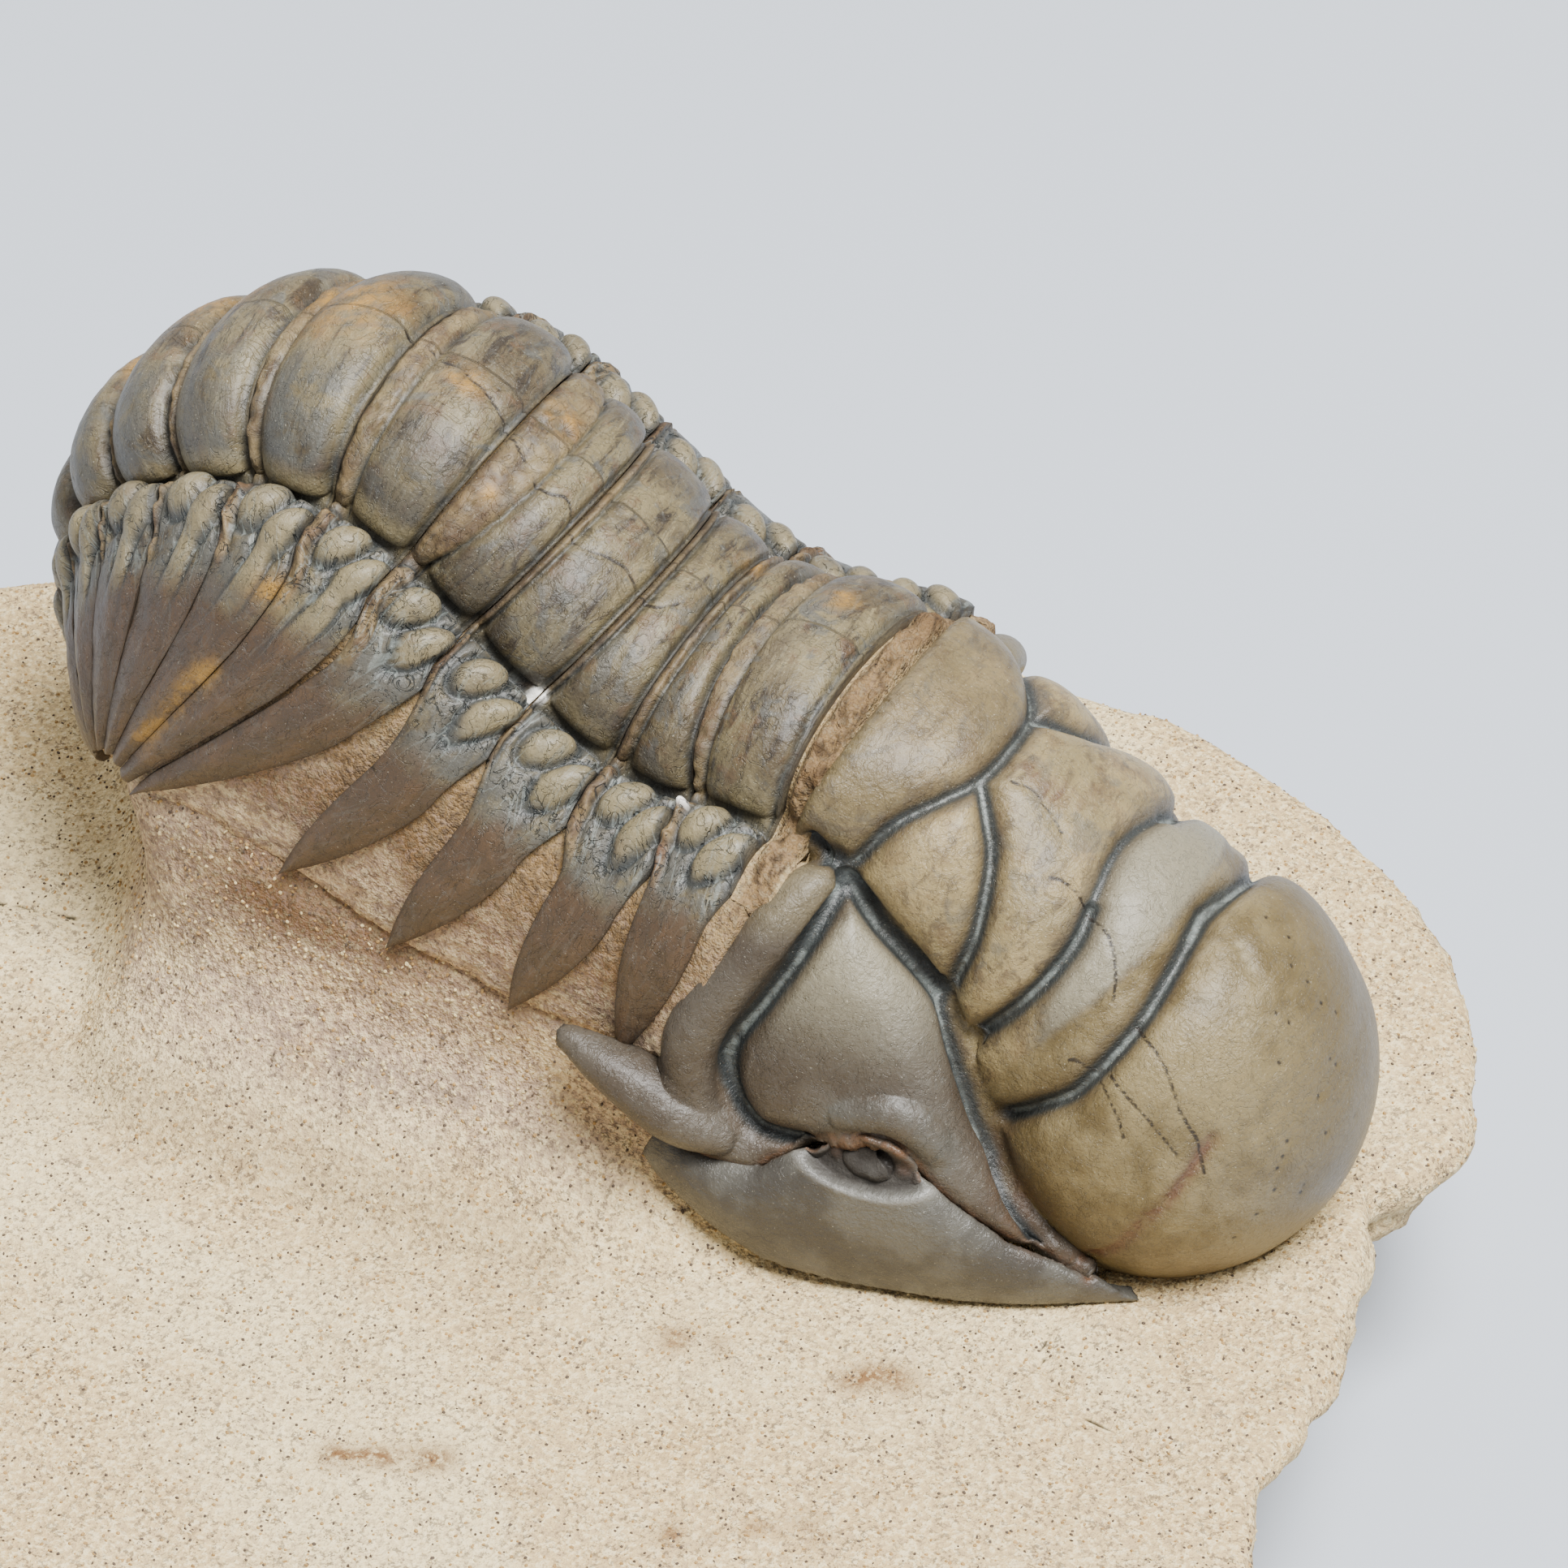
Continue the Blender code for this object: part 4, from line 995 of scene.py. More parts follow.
def matrix_relief(points, size):
    """Waves and bites of the rock, none of them on its underside."""
    level = points[:, 2]
    above = smooth(level, SLAB_UNDERSIDE + 0.1, SLAB_UNDERSIDE + 1.5)
    top = smooth(level, SLAB_TOP - 1.4, SLAB_TOP - 0.4)
    wide, mid, fine = ripple(points, 9.0, 101), ripple(points, 2.4, 111), ripple(points, 0.9, 121, 2)
    broken = np.abs(ripple(points * (1.0, 1.0, 1.8), 4.0, 131)) - 0.2
    height = size.relief * (wide + 0.45 * mid) * top + (0.9 * broken + 0.35 * mid) * (1 - top) + 0.05 * fine
    cracks = [dense(line, 0.25) for line in SLAB_CRACKS]
    for spots in cracks:
        spots[:, :2] += 0.35 * np.column_stack([ripple(spots, 1.6, 141), ripple(spots, 1.6, 142)])
    crack = nearest_of(points, cracks)
    height -= 0.30 * bell(crack, 0.30) * top
    ochre = nearest_of(points, [dense(line, 0.2) for line in OCHRE_STREAKS])
    # painted shade: the slab's sides darker below its top, and a painted shadow along the pedestal's foot
    # on the tail's side
    shade = 0.35 * smooth(level, SLAB_TOP - 1.0, SLAB_TOP - 4.0)
    foot = bell(np.abs(points[:, 1]) - 13.4 - 6.5, 3.0) * (points[:, 0] < 0)
    stained = smooth(wide + 0.6 * mid, -0.55, 0.15)
    marks = {"ochre": bell(ochre, 0.8) * top * smooth(mid + fine, -0.6, 0.3),
             "pink": smooth(level, SLAB_TOP + 0.4, SLAB_TOP + 4.0),
             "crack": 1 - crack / 0.7,
             "rust": smooth(level, -8.0, -4.6) * smooth(points[:, 0], -24.5, -19.0) * stained,
             "brown_and_shade": shade + 0.5 * bell(level - SLAB_TOP - 0.8, 1.2) * foot}
    return height * above, marks


def rock_fill_shape():
    """Rock between the plates, with the ragged strip left behind the head."""
    station = np.linspace(*FILL_STATIONS)
    fine = np.linspace(0.0, FILL_TIP, FILL_COLUMNS)
    across = np.concatenate([-fine[::-1], fine[1:]])
    points, normals = back_point(station[:, None], across[None, :])
    reach, at = np.abs(across)[None, :] + 0 * station[:, None], station[:, None] + 0 * across[None, :]
    shake, rough = ripple(points, 1.8, 151, 4), ripple(points, 0.5, 161, 3)
    depth = 0.95 - 0.62 * smooth(reach, 1.8, 2.35)
    depth = depth + 1.4 * smooth(at, 0.34, 0.16) * smooth(reach, 1.8, 2.1)
    band = distance_to(fold(points.reshape(-1, 3)), dense(BORDER_BAND)).reshape(reach.shape)
    depth = depth + 1.2 * smooth(band, 1.8, 1.0)
    strip = smooth(at, 0.05, 0.14) * smooth(at, 0.50, 0.40) * smooth(reach, 2.3, 1.9)
    wedge = smooth(reach, 1.95, 2.25) * smooth(at, 6.0, 5.4)
    depth = depth - strip * (0.85 + 0.60 * shake + 0.45 * rough) * smooth(reach, 1.75, 1.0)
    depth = depth - wedge * 0.16 * (shake + rough)
    splinter = np.abs(ripple(points * (1.5, 0.4, 1.5), 0.8, 165, 2))
    top = points - normals * depth[..., None]
    below = (points - normals * (depth + FILL_DEPTH)[..., None])[:, ::-FILL_UNDER]
    marks = {"rust": wedge * smooth(shake, -0.7, 0.1) * smooth(reach, 3.0, 2.62),
             "sand": np.maximum(smooth(reach, 2.75, 2.4) * 0.8, 0.95 * strip),
             "brown_and_shade": strip * (0.45 + 0.55 * smooth(rough + shake, -0.2, 0.8)),
             "line": strip * smooth(splinter, 0.12, 0.02) * 0.8, "pink": smooth(reach, 2.1, 2.5)}
    flat = {}
    for mark, values in marks.items():
        both = np.concatenate([values, values[:, ::-FILL_UNDER]], axis=1)
        flat[mark] = np.concatenate([both.ravel(), np.zeros(2)])
    return close_loft(np.concatenate([top, below], axis=1)), flat


# Grains

GRAIN_INPUTS = (("Density", "NodeSocketFloat", 1.0e6), ("Radius", "NodeSocketFloat", 0.0002),
                ("Seed", "NodeSocketInt", 1), ("Lowest", "NodeSocketFloat", 0.0),
                ("Material", "NodeSocketMaterial", None))


def grain_tree(name):
    """Node tree that scatters small grains over the upward faces of a surface."""
    tree = bpy.data.node_groups.new(name, "GeometryNodeTree")
    tree.is_modifier = True
    tree.interface.new_socket("Geometry", in_out="INPUT", socket_type="NodeSocketGeometry")
    for label, kind, value in GRAIN_INPUTS:
        socket = tree.interface.new_socket(label, in_out="INPUT", socket_type=kind)
        if value is not None:
            socket.default_value = value
    tree.interface.new_socket("Geometry", in_out="OUTPUT", socket_type="NodeSocketGeometry")

    def add(kind, settings, feeds):
        node = tree.nodes.new(kind)
        for key, value in settings.items():
            setattr(node, key, value)
        for key, value in feeds.items():
            if isinstance(value, bpy.types.NodeSocket):
                tree.links.new(value, node.inputs[key])
            else:
                node.inputs[key].default_value = value
        return node.outputs

    given = add("NodeGroupInput", {}, {})
    place = add("ShaderNodeSeparateXYZ", {}, {0: add("GeometryNodeInputPosition", {}, {})[0]})
    facing = add("ShaderNodeSeparateXYZ", {}, {0: add("GeometryNodeInputNormal", {}, {})[0]})
    above = add("ShaderNodeMath", {"operation": "GREATER_THAN"}, {0: place["Z"], 1: given["Lowest"]})
    upward = add("ShaderNodeMath", {"operation": "GREATER_THAN"}, {0: facing["Z"], 1: 0.15})
    both = add("ShaderNodeMath", {"operation": "MULTIPLY"}, {0: above[0], 1: upward[0]})
    dots = add("GeometryNodeDistributePointsOnFaces", {"distribute_method": "RANDOM"},
               {"Mesh": given["Geometry"], "Selection": both[0], "Density": given["Density"],
                "Seed": given["Seed"]})
    grain = add("GeometryNodeMeshIcoSphere", {}, {"Radius": 1.0, "Subdivisions": 1})
    turn = add("FunctionNodeRandomValue", {"data_type": "FLOAT_VECTOR"},
               {"Min": (0.0, 0.0, 0.0), "Max": (6.28, 6.28, 6.28), "Seed": given["Seed"]})
    spread = add("FunctionNodeRandomValue", {"data_type": "FLOAT_VECTOR"},
                 {"Min": (0.45, 0.45, 0.45), "Max": (1.5, 1.25, 1.0), "Seed": given["Seed"]})
    scale = add("ShaderNodeVectorMath", {"operation": "SCALE"}, {0: spread[0], "Scale": given["Radius"]})
    placed = add("GeometryNodeInstanceOnPoints", {},
                 {"Points": dots["Points"], "Instance": grain["Mesh"], "Rotation": turn[0],
                  "Scale": scale[0]})
    real = add("GeometryNodeRealizeInstances", {}, {0: placed[0]})
    painted = add("GeometryNodeSetMaterial", {}, {"Geometry": real[0], "Material": given["Material"]})
    add("NodeGroupOutput", {}, {"Geometry": painted[0]})
    return tree


def scatter(name, tree, ground, values):
    """Plain mesh of what the tree lays on the ground's mesh."""
    obj = new_object(name, ground.data.copy())
    layer = obj.modifiers.new("grains", "NODES")
    layer.node_group = tree
    for item in tree.interface.items_tree:
        if item.in_out == "INPUT" and item.name in values:
            layer[item.identifier] = values[item.name]
    mesh = bpy.data.meshes.new_from_object(obj.evaluated_get(bpy.context.evaluated_depsgraph_get()))
    obj.modifiers.clear()
    old, obj.data = obj.data, mesh
    bpy.data.meshes.remove(old)
    mesh.name = name
    return obj


# Shader maths

def rgb(code):
    """Linear colour from a hex code of screen colour."""
    values = [int(code[k:k + 2], 16) / 255 for k in (1, 3, 5)]
    return tuple(v / 12.92 if v <= 0.04045 else ((v + 0.055) / 1.055) ** 2.4 for v in values)


class Wire:
    """A number that flows between shader nodes; expressions on it add Math nodes."""

    def __init__(self, shader, socket):
        self.shader = shader
        self.socket = socket

    def _math(self, operation, *values):
        node = self.shader.node("ShaderNodeMath", {"operation": operation}, *values)
        return Wire(self.shader, node.outputs[0])

    def __add__(self, other):
        return self._math("ADD", self, other)

    __radd__ = __add__

    def __sub__(self, other):
        return self._math("SUBTRACT", self, other)

    def __rsub__(self, other):
        return self._math("SUBTRACT", other, self)

    def __mul__(self, other):
        return self._math("MULTIPLY", self, other)

    __rmul__ = __mul__

    def size(self):
        return self._math("ABSOLUTE", self)

    def step(self, low, high):
        """0 at low, 1 at high, with soft ends."""
        node = self.shader.node("ShaderNodeMapRange", {"interpolation_type": "SMOOTHSTEP"}, self, low, high)
        return Wire(self.shader, node.outputs[0])


class Shader:
    """A material under construction."""

    def __init__(self, name):
        self.material = bpy.data.materials.new(name)
        self.material.use_nodes = True
        self.tree = self.material.node_tree
        self.surface = self.tree.nodes["Principled BSDF"]
        self.place = self.node("ShaderNodeTexCoord").outputs["Object"]

    def node(self, kind, settings=None, *values, **named):
        made = self.tree.nodes.new(kind)
        for key, value in (settings or {}).items():
            setattr(made, key, value)
        for key, value in list(enumerate(values)) + list(named.items()):
            self.feed(made.inputs[key], value)
        return made

    def feed(self, socket, value):
        if value is None:
            return
        if isinstance(value, Wire):
            value = value.socket
        if isinstance(value, bpy.types.NodeSocket):
            self.tree.links.new(value, socket)
        elif isinstance(value, tuple) and len(value) == 3 and socket.type == "RGBA":
            socket.default_value = (*value, 1.0)
        else:
            socket.default_value = value

    def mark(self, name):
        node = self.node("ShaderNodeAttribute", {"attribute_name": name})
        return Wire(self, node.outputs["Fac"])

    def stretch(self, scale, where=None):
        """Coordinates with their own scale on each axis, for streaks and beds."""
        return self.node("ShaderNodeMapping", None, where or self.place, Scale=scale).outputs[0]

    def noise(self, size, detail=3.0, roughness=0.55, where=None, distortion=0.0):
        """Noise with lumps about size millimetres wide, near 0.5 on average."""
        node = self.node("ShaderNodeTexNoise", None, Vector=where or self.place, Scale=1.0 / (size * MM),
                         Detail=detail, Roughness=roughness, Distortion=distortion)
        return Wire(self, node.outputs[0])

    def threads(self, size, width, where=None, distortion=0.0):
        """Thin wandering lines: 1 along them, 0 beside them."""
        wave = self.noise(size, 3.0, 0.55, where, distortion) - 0.5
        return wave.size().step(width, 0.0)

    def blend(self, share, first, second):
        node = self.node("ShaderNodeMix", {"data_type": "RGBA"})
        self.feed(node.inputs[0], share)
        self.feed(node.inputs[6], first)
        self.feed(node.inputs[7], second)
        return node.outputs[2]

    def coats(self, colour, *layers):
        """The colour under more colours, each with the share by which it covers."""
        for share, over in layers:
            colour = self.blend(share, colour, over)
        return colour

    def bump(self, height, depth, strength=1.0, after=None):
        """Normal that a relief of that depth in millimetres gives."""
        node = self.node("ShaderNodeBump", None, Height=height, Distance=depth * MM, Strength=strength)
        if after is not None:
            self.tree.links.new(after, node.inputs["Normal"])
        return node.outputs[0]

    def finish(self, colour, roughness, normal, **constants):
        self.feed(self.surface.inputs["Base Color"], colour)
        self.feed(self.surface.inputs["Roughness"], roughness)
        self.feed(self.surface.inputs["Normal"], normal)
        for name, value in constants.items():
            self.surface.inputs[name.replace("_", " ")].default_value = value
        return self.material


def plate_material(name, body, light, shade, gloss, mottle, streaky, colours):
    """Satin calcite of the animal's plates, with the marks that its mesh carries."""
    s = Shader(name)
    flow = s.place
    if streaky:
        flow = s.node("ShaderNodeAttribute", {"attribute_name": "flow"}).outputs["Vector"]
    lengthwise = s.stretch((1.0, 0.28, 1.0), flow)
    broad = s.noise(4.0, 3.0, 0.6)
    cloud = s.noise(1.3, 4.0, 0.65)
    grain = s.noise(0.17, 3.0, 0.75)
    streak = s.noise(0.8, 5.0, 0.7, lengthwise, 0.6)
    wash = s.noise(2.2, 4.0, 0.6, flow, 1.0)
    bulb = s.blend(broad.step(0.36, 0.60), colours.bulb[:], body)
    cheek = s.blend(broad.step(0.40, 0.62), colours.cheek[:], colours.cheek_light[:])
    # painted sheen on the upper part of the fixed cheeks
    cheek = s.blend(s.mark("high"), cheek, colours.cheek_sheen[:])
    blade = s.blend(streak.step(0.4, 0.7) * 0.7, colours.blade[:], colours.umber[:])
    sandy = s.blend(cloud.step(0.40, 0.58), colours.strip[:], colours.umber[:])
    seam = s.mark("seam") + 0.10 * (cloud - 0.5)
    # painted highlight: a pale bluish line of sheen along the bottom of the head's furrows
    painted_sheen = seam.step(0.80, 0.94) * (0.25 + wash.step(0.42, 0.58))
    wrinkle = s.threads(1.1, 0.018, flow, 1.5)
    # painted reflections: thin pale threads of gloss, strongest on the bare flanks between the knobs
    sheen_thread = s.threads(1.4, 0.022, lengthwise, 1.0)
    bare = s.mark("flank") * (1.0 - s.mark("pale"))
    fleck = s.noise(0.12, 2.0, 0.7)
    open_face = 1.0 - s.mark("line")
    colour = s.blend(broad.step(0.38, 0.64), body, light)
    colour = s.coats(
        colour,
        (streak.step(0.48, 0.64) * mottle, shade),
        (streak.step(0.44, 0.30) * 0.7 * mottle, colours.knob[:]),
        (cloud.step(0.52, 0.66) * 0.65 * mottle, colours.umber[:]),
        (wash.step(0.54, 0.64) * 0.75 * mottle, colours.slate[:]),
        (s.mark("bulb") * 0.9, bulb),
        # the front lobe's browner side and bottom, partly painted shade, and tan patches of the occipital
        # ring
        (s.mark("tan") * 0.9, colours.bulb[:]),
        (s.mark("cheek"), cheek),
        # painted shade on the lower ends of the rings and the lower part of the fixed cheeks
        (s.mark("low") * 0.8, shade),
        (s.mark("blue") * cloud.step(0.30, 0.55) * 0.9, colours.slate[:]),
        (s.mark("pale") * (0.5 + 0.6 * streak), colours.knob[:]),
        (s.mark("dark"), blade),
        (s.mark("sand") * (0.5 + 0.7 * streak), sandy),
        (s.mark("rust") * (0.35 + streak.step(0.35, 0.6)), colours.rust[:]),
        (s.mark("amber") * (0.2 + cloud.step(0.35, 0.6)), colours.amber[:]),
        # furrows, moats and seams darkened: partly their own dark colour, partly painted shade
        (s.mark("furrow") * 0.92, colours.furrow[:]),
        # painted shade: the head's lobes darker towards their furrows, and the furrows themselves dark
        (seam.step(0.0, 0.6) * 0.55, shade),
        (seam.step(0.46, 0.74) * 0.88, colours.furrow[:]),
        (painted_sheen * 0.38, colours.painted_sheen[:]),
        (wrinkle * (0.16 * mottle + 0.6 * bare), colours.furrow[:]),
        (sheen_thread * (0.07 * mottle + 0.28 * bare), colours.painted_sheen[:]),
        # dark lines, and the eye's hole and hollow, which are partly painted shade
        (s.mark("line") * 0.95, colours.crack[:]),
        (s.mark("crack").step(0.74, 0.90) * 0.9, colours.crack[:]),
        # bits of calcite on the back, and the painted highlight on the eye's lip
        (s.mark("white"), colours.calcite[:]),
        (fleck.step(0.42, 0.30) * 0.5, shade),
        # pale flecks, partly specks of calcite and partly painted glints, kept off the holes and dark lines
        (fleck.step(0.66, 0.76) * 0.35 * open_face, colours.glint[:]))
    roughness = gloss + 0.22 * grain + 0.30 * s.mark("sand") + 0.12 * cloud + 0.6 * s.mark("line")
    soft = s.bump(cloud + 0.7 * streak, 0.18, 0.8)
    rough = s.bump(grain, 0.06, 0.7, soft)
    normal = s.bump(wrinkle * (0.3 * mottle + bare), -0.12, 0.8, rough)
    return s.finish(colour, roughness, normal, Specular_IOR_Level=0.42, Coat_Weight=0.08,
                    Coat_Roughness=0.25)


def limestone_material(name, colours):
    """Sandy limestone: cream and ochre grains, dark specks, pinkish and purplish beds."""
    s = Shader(name)
    bed = s.noise(14.0, 3.0, 0.5, s.stretch((0.6, 1.0, 1.6)), 0.8)
    patch = s.noise(5.0, 4.0, 0.6)
    cloud = s.noise(1.5, 4.0, 0.7)
    sandy = s.noise(0.34, 2.0, 0.7)
    grains = s.noise(0.26, 2.0, 0.8)
    beds = s.noise(3.0, 5.0, 0.75, s.stretch((0.55, 0.9, 1.5)), 0.5)
    pink = s.blend(beds.step(0.42, 0.60), colours.stone_pink[:], colours.stone_purple[:])
    wedge = s.blend(sandy.step(0.40, 0.60), colours.wedge[:], colours.umber[:])
    strip = s.blend(sandy.step(0.42, 0.58), colours.strip[:], colours.umber[:])
    high, sand = s.mark("pink"), s.mark("sand")
    plain = (1.0 - 0.75 * sand) * (1.0 - 0.75 * s.mark("rust")) * (1.0 - 0.35 * high)
    dark = grains.step(0.52, 0.61) * cloud.step(0.30, 0.58)
    colour = s.blend(bed.step(0.38, 0.62), colours.stone[:], colours.stone_pale[:])
    colour = s.coats(
        colour,
        (high * patch.step(0.15, 0.5) * 0.85, pink),
        (patch.step(0.54, 0.74) * 0.5, colours.stone_ochre[:]),
        (s.mark("rust") * (0.3 + beds), wedge),
        (sand, strip),
        (sandy.step(0.50, 0.60) * 0.65 * plain, colours.stone_grain[:]),
        (sandy.step(0.48, 0.38) * (0.30 + 0.25 * high), colours.stone_purple[:]),
        (dark * 0.70, colours.stone_speck[:]),
        (cloud.step(0.56, 0.68) * (0.20 + 0.3 * high), colours.stone_purple[:]),
        # the fill's brown strip, and the painted shade on the slab's sides and the painted shadow at the
        # pedestal's foot
        (s.mark("brown_and_shade") * (0.55 + 0.4 * cloud), colours.umber[:]),
        (s.mark("ochre") * sandy.step(0.3, 0.55), colours.wedge[:]),
        (s.mark("line") * 0.85, colours.crack[:]),
        (s.mark("crack").step(0.72, 0.90) * 0.9, colours.crack[:]))
    soft = s.bump(patch + 0.4 * sandy, 0.30, 0.6)
    normal = s.bump(grains + 0.7 * sandy, 0.16, 0.9, soft)
    return s.finish(colour, 0.80 + 0.18 * grains, normal, Specular_IOR_Level=0.2)


def plain_material(name, colour, roughness=0.85):
    s = Shader(name)
    cloud = s.noise(0.5, 3.0, 0.6)
    tint = s.blend(cloud.step(0.3, 0.7), colour, tuple(0.7 * part for part in colour))
    return s.finish(tint, roughness - 0.1 * cloud, s.bump(cloud, 0.05, 0.5))


# Settings that a user would change

def number_setting(label, value, text, **more):
    return bpy.props.FloatProperty(name=label, description=text, default=value, **more)


class FossilSizes(bpy.types.PropertyGroup):
    """Relief of the animal's plates, in millimetres."""
    cell: number_setting("Mesh cell", 0.14, "Spacing of points across a plate", min=0.08)
    ring_swell: number_setting("Ring swell", 0.50, "Height of an axial ring")
    seam_depth: number_setting("Seam depth", 0.26, "Depth of the lines between rings")
    furrow_depth: number_setting("Furrow depth", 0.75, "Depth of the axial furrow")
    furrow_width: number_setting("Furrow width", 0.34, "Half width of the axial furrow")
    lobe_swell: number_setting("Lobe swell", 0.45, "How far the head's lobes swell between their furrows")
    head_voxel: number_setting("Head cell", 0.19, "Cell of the head's mesh")


class RockSizes(bpy.types.PropertyGroup):
    """Relief of the rock, in millimetres, and its loose grains."""
    voxel: number_setting("Slab cell", 0.42, "Cell of the slab's mesh")
    relief: number_setting("Slab relief", 0.28, "Height of the slab's low waves")
    grains: bpy.props.IntProperty(name="Grains", description="Loose grains of each kind", default=8000)
    grain: number_setting("Grain size", 0.11, "Radius of a usual grain")


def colour_setting(label, code, text):
    return bpy.props.FloatVectorProperty(name=label, description=text, default=rgb(code),
                                         subtype="COLOR", size=3, min=0.0, max=1.0)


class FossilColours(bpy.types.PropertyGroup):
    """Colours of the animal and its rock."""
    back: colour_setting("Back", "#504531", "Body of the rings")
    # back shade: darker grain of the rings, and the colour of the painted shade on their lower ends
    back_light: colour_setting("Light back", "#6f6447", "Lighter patches of the rings")
    back_shade: colour_setting("Back shade", "#322a20", "Darker grain of the rings")
    olive: colour_setting("Olive", "#7a6c4a", "Body of the head's lobes")
    olive_light: colour_setting("Light olive", "#917f58", "Lighter patches of the lobes")
    # olive shade: darker grain of the lobes, and the colour of the painted shade on the lower cheeks and by
    # the head's furrows
    olive_shade: colour_setting("Olive shade", "#44382a", "Darker grain of the lobes")
    bulb: colour_setting("Bulb", "#57492a", "Front lobe")
    cheek: colour_setting("Cheek", "#3f3c37", "Free cheeks and borders")
    # painted sheen: the lighter colour of the fixed cheeks' upper part
    cheek_sheen: colour_setting("High cheek", "#7d7662", "Upper part of the fixed cheeks")
    cheek_light: colour_setting("Light cheek", "#5b5952", "Lighter patches of the cheeks")
    umber: colour_setting("Umber", "#5a432c", "Brown streaks")
    slate: colour_setting("Slate", "#504f49", "Blue grey between the knobs")
    knob: colour_setting("Knob", "#887c5c", "Knobs and rims")
    blade: colour_setting("Blade", "#453627", "Spines")
    strip: colour_setting("Strip", "#8a7048", "Sandy strips between the plates")
    rust: colour_setting("Rust", "#5e4430", "Iron stains")
    amber: colour_setting("Amber", "#95702f", "Yellow stains on the crest")
    wedge: colour_setting("Wedge", "#74502e", "Rock between the spines")
    # furrow colour: partly the furrows' own dark colour, partly painted shade in them
    furrow: colour_setting("Furrow", "#262c2e", "Furrows")
    # crack colour: cracks and seams, and the painted shade in the eye's hole and hollow
    crack: colour_setting("Crack", "#1c150f", "Cracks and seams")
    # glint: pale flecks, partly specks of calcite and partly painted glints
    glint: colour_setting("Glint", "#d8d2bd", "Calcite flecks")
    # calcite colour: also the painted highlight on the eye's lip
    calcite: colour_setting("Calcite", "#f2efe6", "Bits of calcite in the furrow")
    # painted highlight: the pale bluish sheen along the head's furrows and in the pale threads of the gloss
    painted_sheen: colour_setting("Sheen", "#8d9590", "Pale lines along the furrows")
    stone: colour_setting("Stone", "#cfb380", "Limestone")
    stone_pale: colour_setting("Pale stone", "#e0cb9a", "Paler beds")
    stone_grain: colour_setting("Pale grain", "#eddbae", "Pale grains")
    stone_ochre: colour_setting("Ochre stone", "#b08d58", "Ochre grains")
    stone_pink: colour_setting("Pink stone", "#c2a78a", "Pedestal")
    stone_purple: colour_setting("Purple stone", "#8f7a6c", "Purplish beds")
    stone_speck: colour_setting("Specks", "#57493d", "Dark grains")


class StudioSettings(bpy.types.PropertyGroup):
    """Camera and light."""
    azimuth: number_setting("Azimuth", math.radians(30), "Camera's turn from looking along +Y",
                            subtype="ANGLE")
    elevation: number_setting("Elevation", math.radians(42), "Camera's angle above the floor",
                              subtype="ANGLE")
    distance: number_setting("Distance", 0.32, "From the camera to the animal", unit="LENGTH")
    key: number_setting("Key light", 10.5, "Power of the large soft light", unit="POWER")
    fill: number_setting("Fill light", 1.0, "Power of the low soft light", unit="POWER")
    sky: number_setting("Sky", 0.46, "Strength of the light from all round")


SLAB_AREA = 0.0062              # square metres that face up
FLOOR_SIZE = 1.6
FLOOR_COLOUR = "#b9c0ca"
SKY_COLOUR = (1.0, 0.985, 0.96, 1.0)
LENS = 166.96                   # frames the photograph's view at the camera's distance
SENSOR_WIDTH = 36.0
# Place and width of either lamp.
KEY_LAMP = ((0.20, -0.05, 0.56), 0.26)
FILL_LAMP = ((-0.35, 0.30, 0.35), 0.40)


def ride_root(obj, slot, *nodes):
    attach(obj, "root")
    if nodes:
        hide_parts(*nodes)
    return obj


class FOSSIL_OT_back(bpy.types.Operator):
    """Build the eleven segments and the tail shield"""
    bl_idname = "fossil.back"
    bl_label = "Back plates"

    def execute(self, context):
        size, colours = context.scene.fossil_sizes, context.scene.fossil_colours
        material = plate_material("back_calcite", colours.back[:], colours.back_light[:],
                                  colours.back_shade[:], 0.29, 1.0, True, colours)
        for number in range(1, SEGMENTS + 1):
            shape, marks = plate_shape(number, number - 0.5, number + 0.5, size)
            obj = build_mesh(f"shell_segment_{number:02d}", shape, marks, material)
            ride_root(obj, "back_plate", f"segment_{number:02d}")
        shape, marks = plate_shape(SEGMENTS + 1, SEGMENTS + 0.5, SEGMENTS + 1.95, size)
        obj = build_mesh("shell_pygidium", shape, marks, material)
        ride_root(obj, "tail_plate", "pygidium")
        return {"FINISHED"}


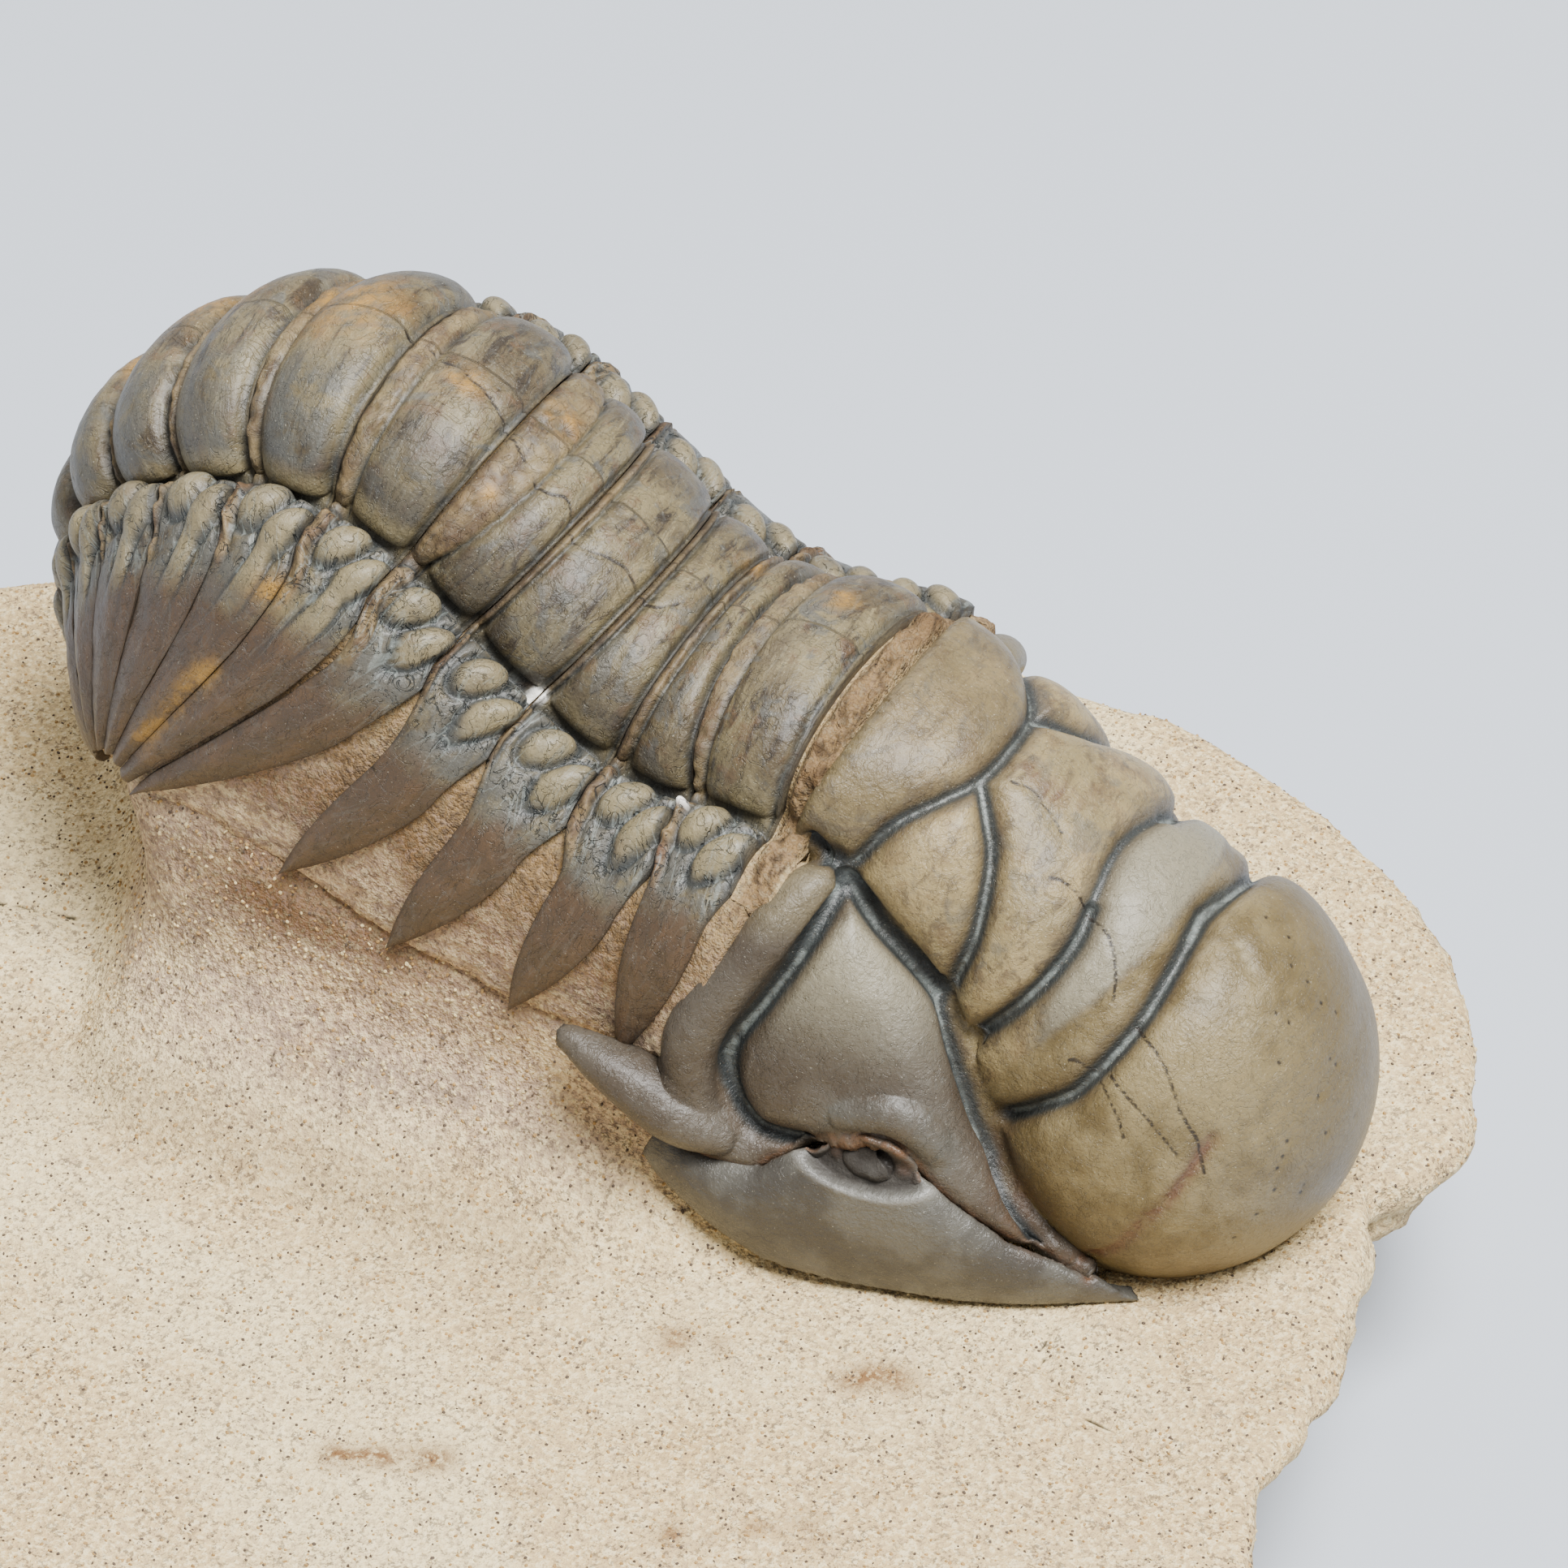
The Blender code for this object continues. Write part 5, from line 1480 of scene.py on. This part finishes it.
class FOSSIL_OT_head(bpy.types.Operator):
    """Build the middle of the head with its fixed cheeks, and the two free cheeks"""
    bl_idname = "fossil.head"
    bl_label = "Head plates"

    def execute(self, context):
        size, colours = context.scene.fossil_sizes, context.scene.fossil_colours
        material = plate_material("head_calcite", colours.olive[:], colours.olive_light[:],
                                  colours.olive_shade[:], 0.24, 0.6, False, colours)
        right = [cheek_part(False), tube(BORDER_BAND, BORDER_BAND_RADIUS),
                 tube(PALPEBRAL_LOBE, PALPEBRAL_RADIUS), tube(GENAL_SPINE, GENAL_RADII, 0.7),
                 tube(GENAL_CORNER, GENAL_CORNER_RADII)]
        lobes = [lobe_body(FRONT_LOBE_CENTRE, FRONT_LOBE_RADII),
                 lobe_body(LOBE_BACK_CENTRE, LOBE_BACK_RADII)]
        shapes = [glabella_body(), *lobes, *right, *(mirrored(shape) for shape in right)]
        shape, marks = head_shape(shapes, size, False)
        ride_root(build_mesh("shell_cranidium", shape, marks, material), "head_plate", "cranidium")
        material = plate_material("cheek_calcite", colours.cheek[:], colours.cheek_light[:],
                                  colours.cheek[:], 0.13, 0.3, False, colours)
        for side in ("right", "left"):
            shape = cheek_part(True)
            if side == "left":
                shape = mirrored(shape)
            shape, marks = head_shape([shape], size, True)
            obj = build_mesh(f"shell_free_cheek_{side}", shape, marks, material)
            ride_root(obj, "cheek_plate", f"free_cheek_{side}")
        return {"FINISHED"}


class FOSSIL_OT_rock(bpy.types.Operator):
    """Build the slab, its pedestal and the rock between the plates"""
    bl_idname = "fossil.rock"
    bl_label = "Rock"

    def execute(self, context):
        size, colours = context.scene.rock_sizes, context.scene.fossil_colours
        material = limestone_material("limestone", colours)
        body, faces, edges = fuse([slab_body(), pedestal_body()], size.voxel, 1)
        height, marks = matrix_relief(body, size)
        points = body + normals_of(body, faces) * height[:, None]
        points[:, 2] = np.maximum(points[:, 2], SLAB_UNDERSIDE)
        shape = points, faces, np.zeros((0, 3), int)
        ride_root(build_mesh("rock_slab", shape, marks, material), "limestone", "matrix")
        shape, marks = rock_fill_shape()
        ride_root(build_mesh("rock_fill", shape, marks, material), "limestone", "matrix")
        return {"FINISHED"}


class FOSSIL_OT_grains(bpy.types.Operator):
    """Lay loose pale and dark grains on the rock"""
    bl_idname = "fossil.grains"
    bl_label = "Grains"

    def execute(self, context):
        size, colours = context.scene.rock_sizes, context.scene.fossil_colours
        tree = grain_tree("grains")
        ground = bpy.data.objects["rock_slab"]
        lowest = (SLAB_TOP - 1.0 + PLACE[2]) * MM
        kinds = (("grain_pale", colours.stone_pale, 1.0, 11),
                 ("grain_dark", colours.stone_speck, 0.75, 23),
                 ("grain_ochre", colours.stone_ochre, 0.9, 37))
        for name, colour, share, seed in kinds:
            material = plain_material(name, colour[:])
            values = {"Density": size.grains * share / SLAB_AREA, "Radius": size.grain * share * MM,
                      "Seed": seed, "Lowest": lowest, "Material": material}
            ride_root(scatter(name, tree, ground, values), "limestone")
        return {"FINISHED"}


class FOSSIL_OT_stage(bpy.types.Operator):
    """Set the floor, the camera and the lights"""
    bl_idname = "fossil.stage"
    bl_label = "Stage"

    def execute(self, context):
        studio = context.scene.fossil_studio
        bm = bmesh.new()
        bmesh.ops.create_grid(bm, x_segments=2, y_segments=2, size=FLOOR_SIZE)
        mesh = bpy.data.meshes.new("floor")
        bm.to_mesh(mesh)
        bm.free()
        floor = new_object("floor", mesh)
        s = Shader("floor_paper")
        s.finish(rgb(FLOOR_COLOUR), 0.9, s.bump(s.noise(0.8), 0.02, 0.2))
        mesh.materials.append(s.material)

        target = PLACE * MM
        flat = math.cos(studio.elevation) * studio.distance
        way = np.array([math.sin(studio.azimuth) * flat, -math.cos(studio.azimuth) * flat,
                        math.sin(studio.elevation) * studio.distance])
        camera = bpy.data.cameras.new("camera")
        camera.sensor_width = SENSOR_WIDTH
        camera.lens = LENS
        camera.clip_start = 0.01
        eye = bpy.data.objects.new("camera", camera)
        eye.location = target + way
        eye.rotation_euler = (math.pi / 2 - studio.elevation, 0.0, studio.azimuth)
        context.scene.collection.objects.link(eye)
        context.scene.camera = eye

        self.lamp(context, "key", *KEY_LAMP, target, studio.key)
        self.lamp(context, "fill", *FILL_LAMP, target, studio.fill)
        world = bpy.data.worlds.new("sky")
        world.use_nodes = True
        light = world.node_tree.nodes["Background"].inputs
        light["Color"].default_value = SKY_COLOUR
        light["Strength"].default_value = studio.sky
        context.scene.world = world
        return {"FINISHED"}

    def lamp(self, context, name, place, size, target, power):
        light = bpy.data.lights.new(name, "AREA")
        light.size = size
        light.energy = power
        obj = bpy.data.objects.new(name, light)
        obj.location = place
        way = np.array(place) - target
        obj.rotation_euler = (math.atan2(math.hypot(way[0], way[1]), way[2]), 0.0,
                              math.atan2(way[0], -way[1]))
        context.scene.collection.objects.link(obj)


STEPS = (FOSSIL_OT_head, FOSSIL_OT_back, FOSSIL_OT_rock, FOSSIL_OT_grains, FOSSIL_OT_stage)


class FOSSIL_PT_panel(bpy.types.Panel):
    bl_label = "Trilobite"
    bl_idname = "FOSSIL_PT_panel"
    bl_space_type = "VIEW_3D"
    bl_region_type = "UI"
    bl_category = "Trilobite"

    def draw(self, context):
        for step in STEPS:
            self.layout.operator(step.bl_idname)


GROUPS = {"fossil_sizes": FossilSizes, "rock_sizes": RockSizes, "fossil_colours": FossilColours,
          "fossil_studio": StudioSettings}


def register():
    for kind in (*GROUPS.values(), *STEPS, FOSSIL_PT_panel):
        bpy.utils.register_class(kind)
    for name, kind in GROUPS.items():
        setattr(bpy.types.Scene, name, bpy.props.PointerProperty(type=kind))


def unregister():
    for name in GROUPS:
        delattr(bpy.types.Scene, name)
    for kind in (FOSSIL_PT_panel, *STEPS, *GROUPS.values()):
        bpy.utils.unregister_class(kind)


def main():
    register()
    for step in STEPS:
        area, name = step.bl_idname.split(".")
        getattr(getattr(bpy.ops, area), name)()


if __name__ == "__main__":
    main()
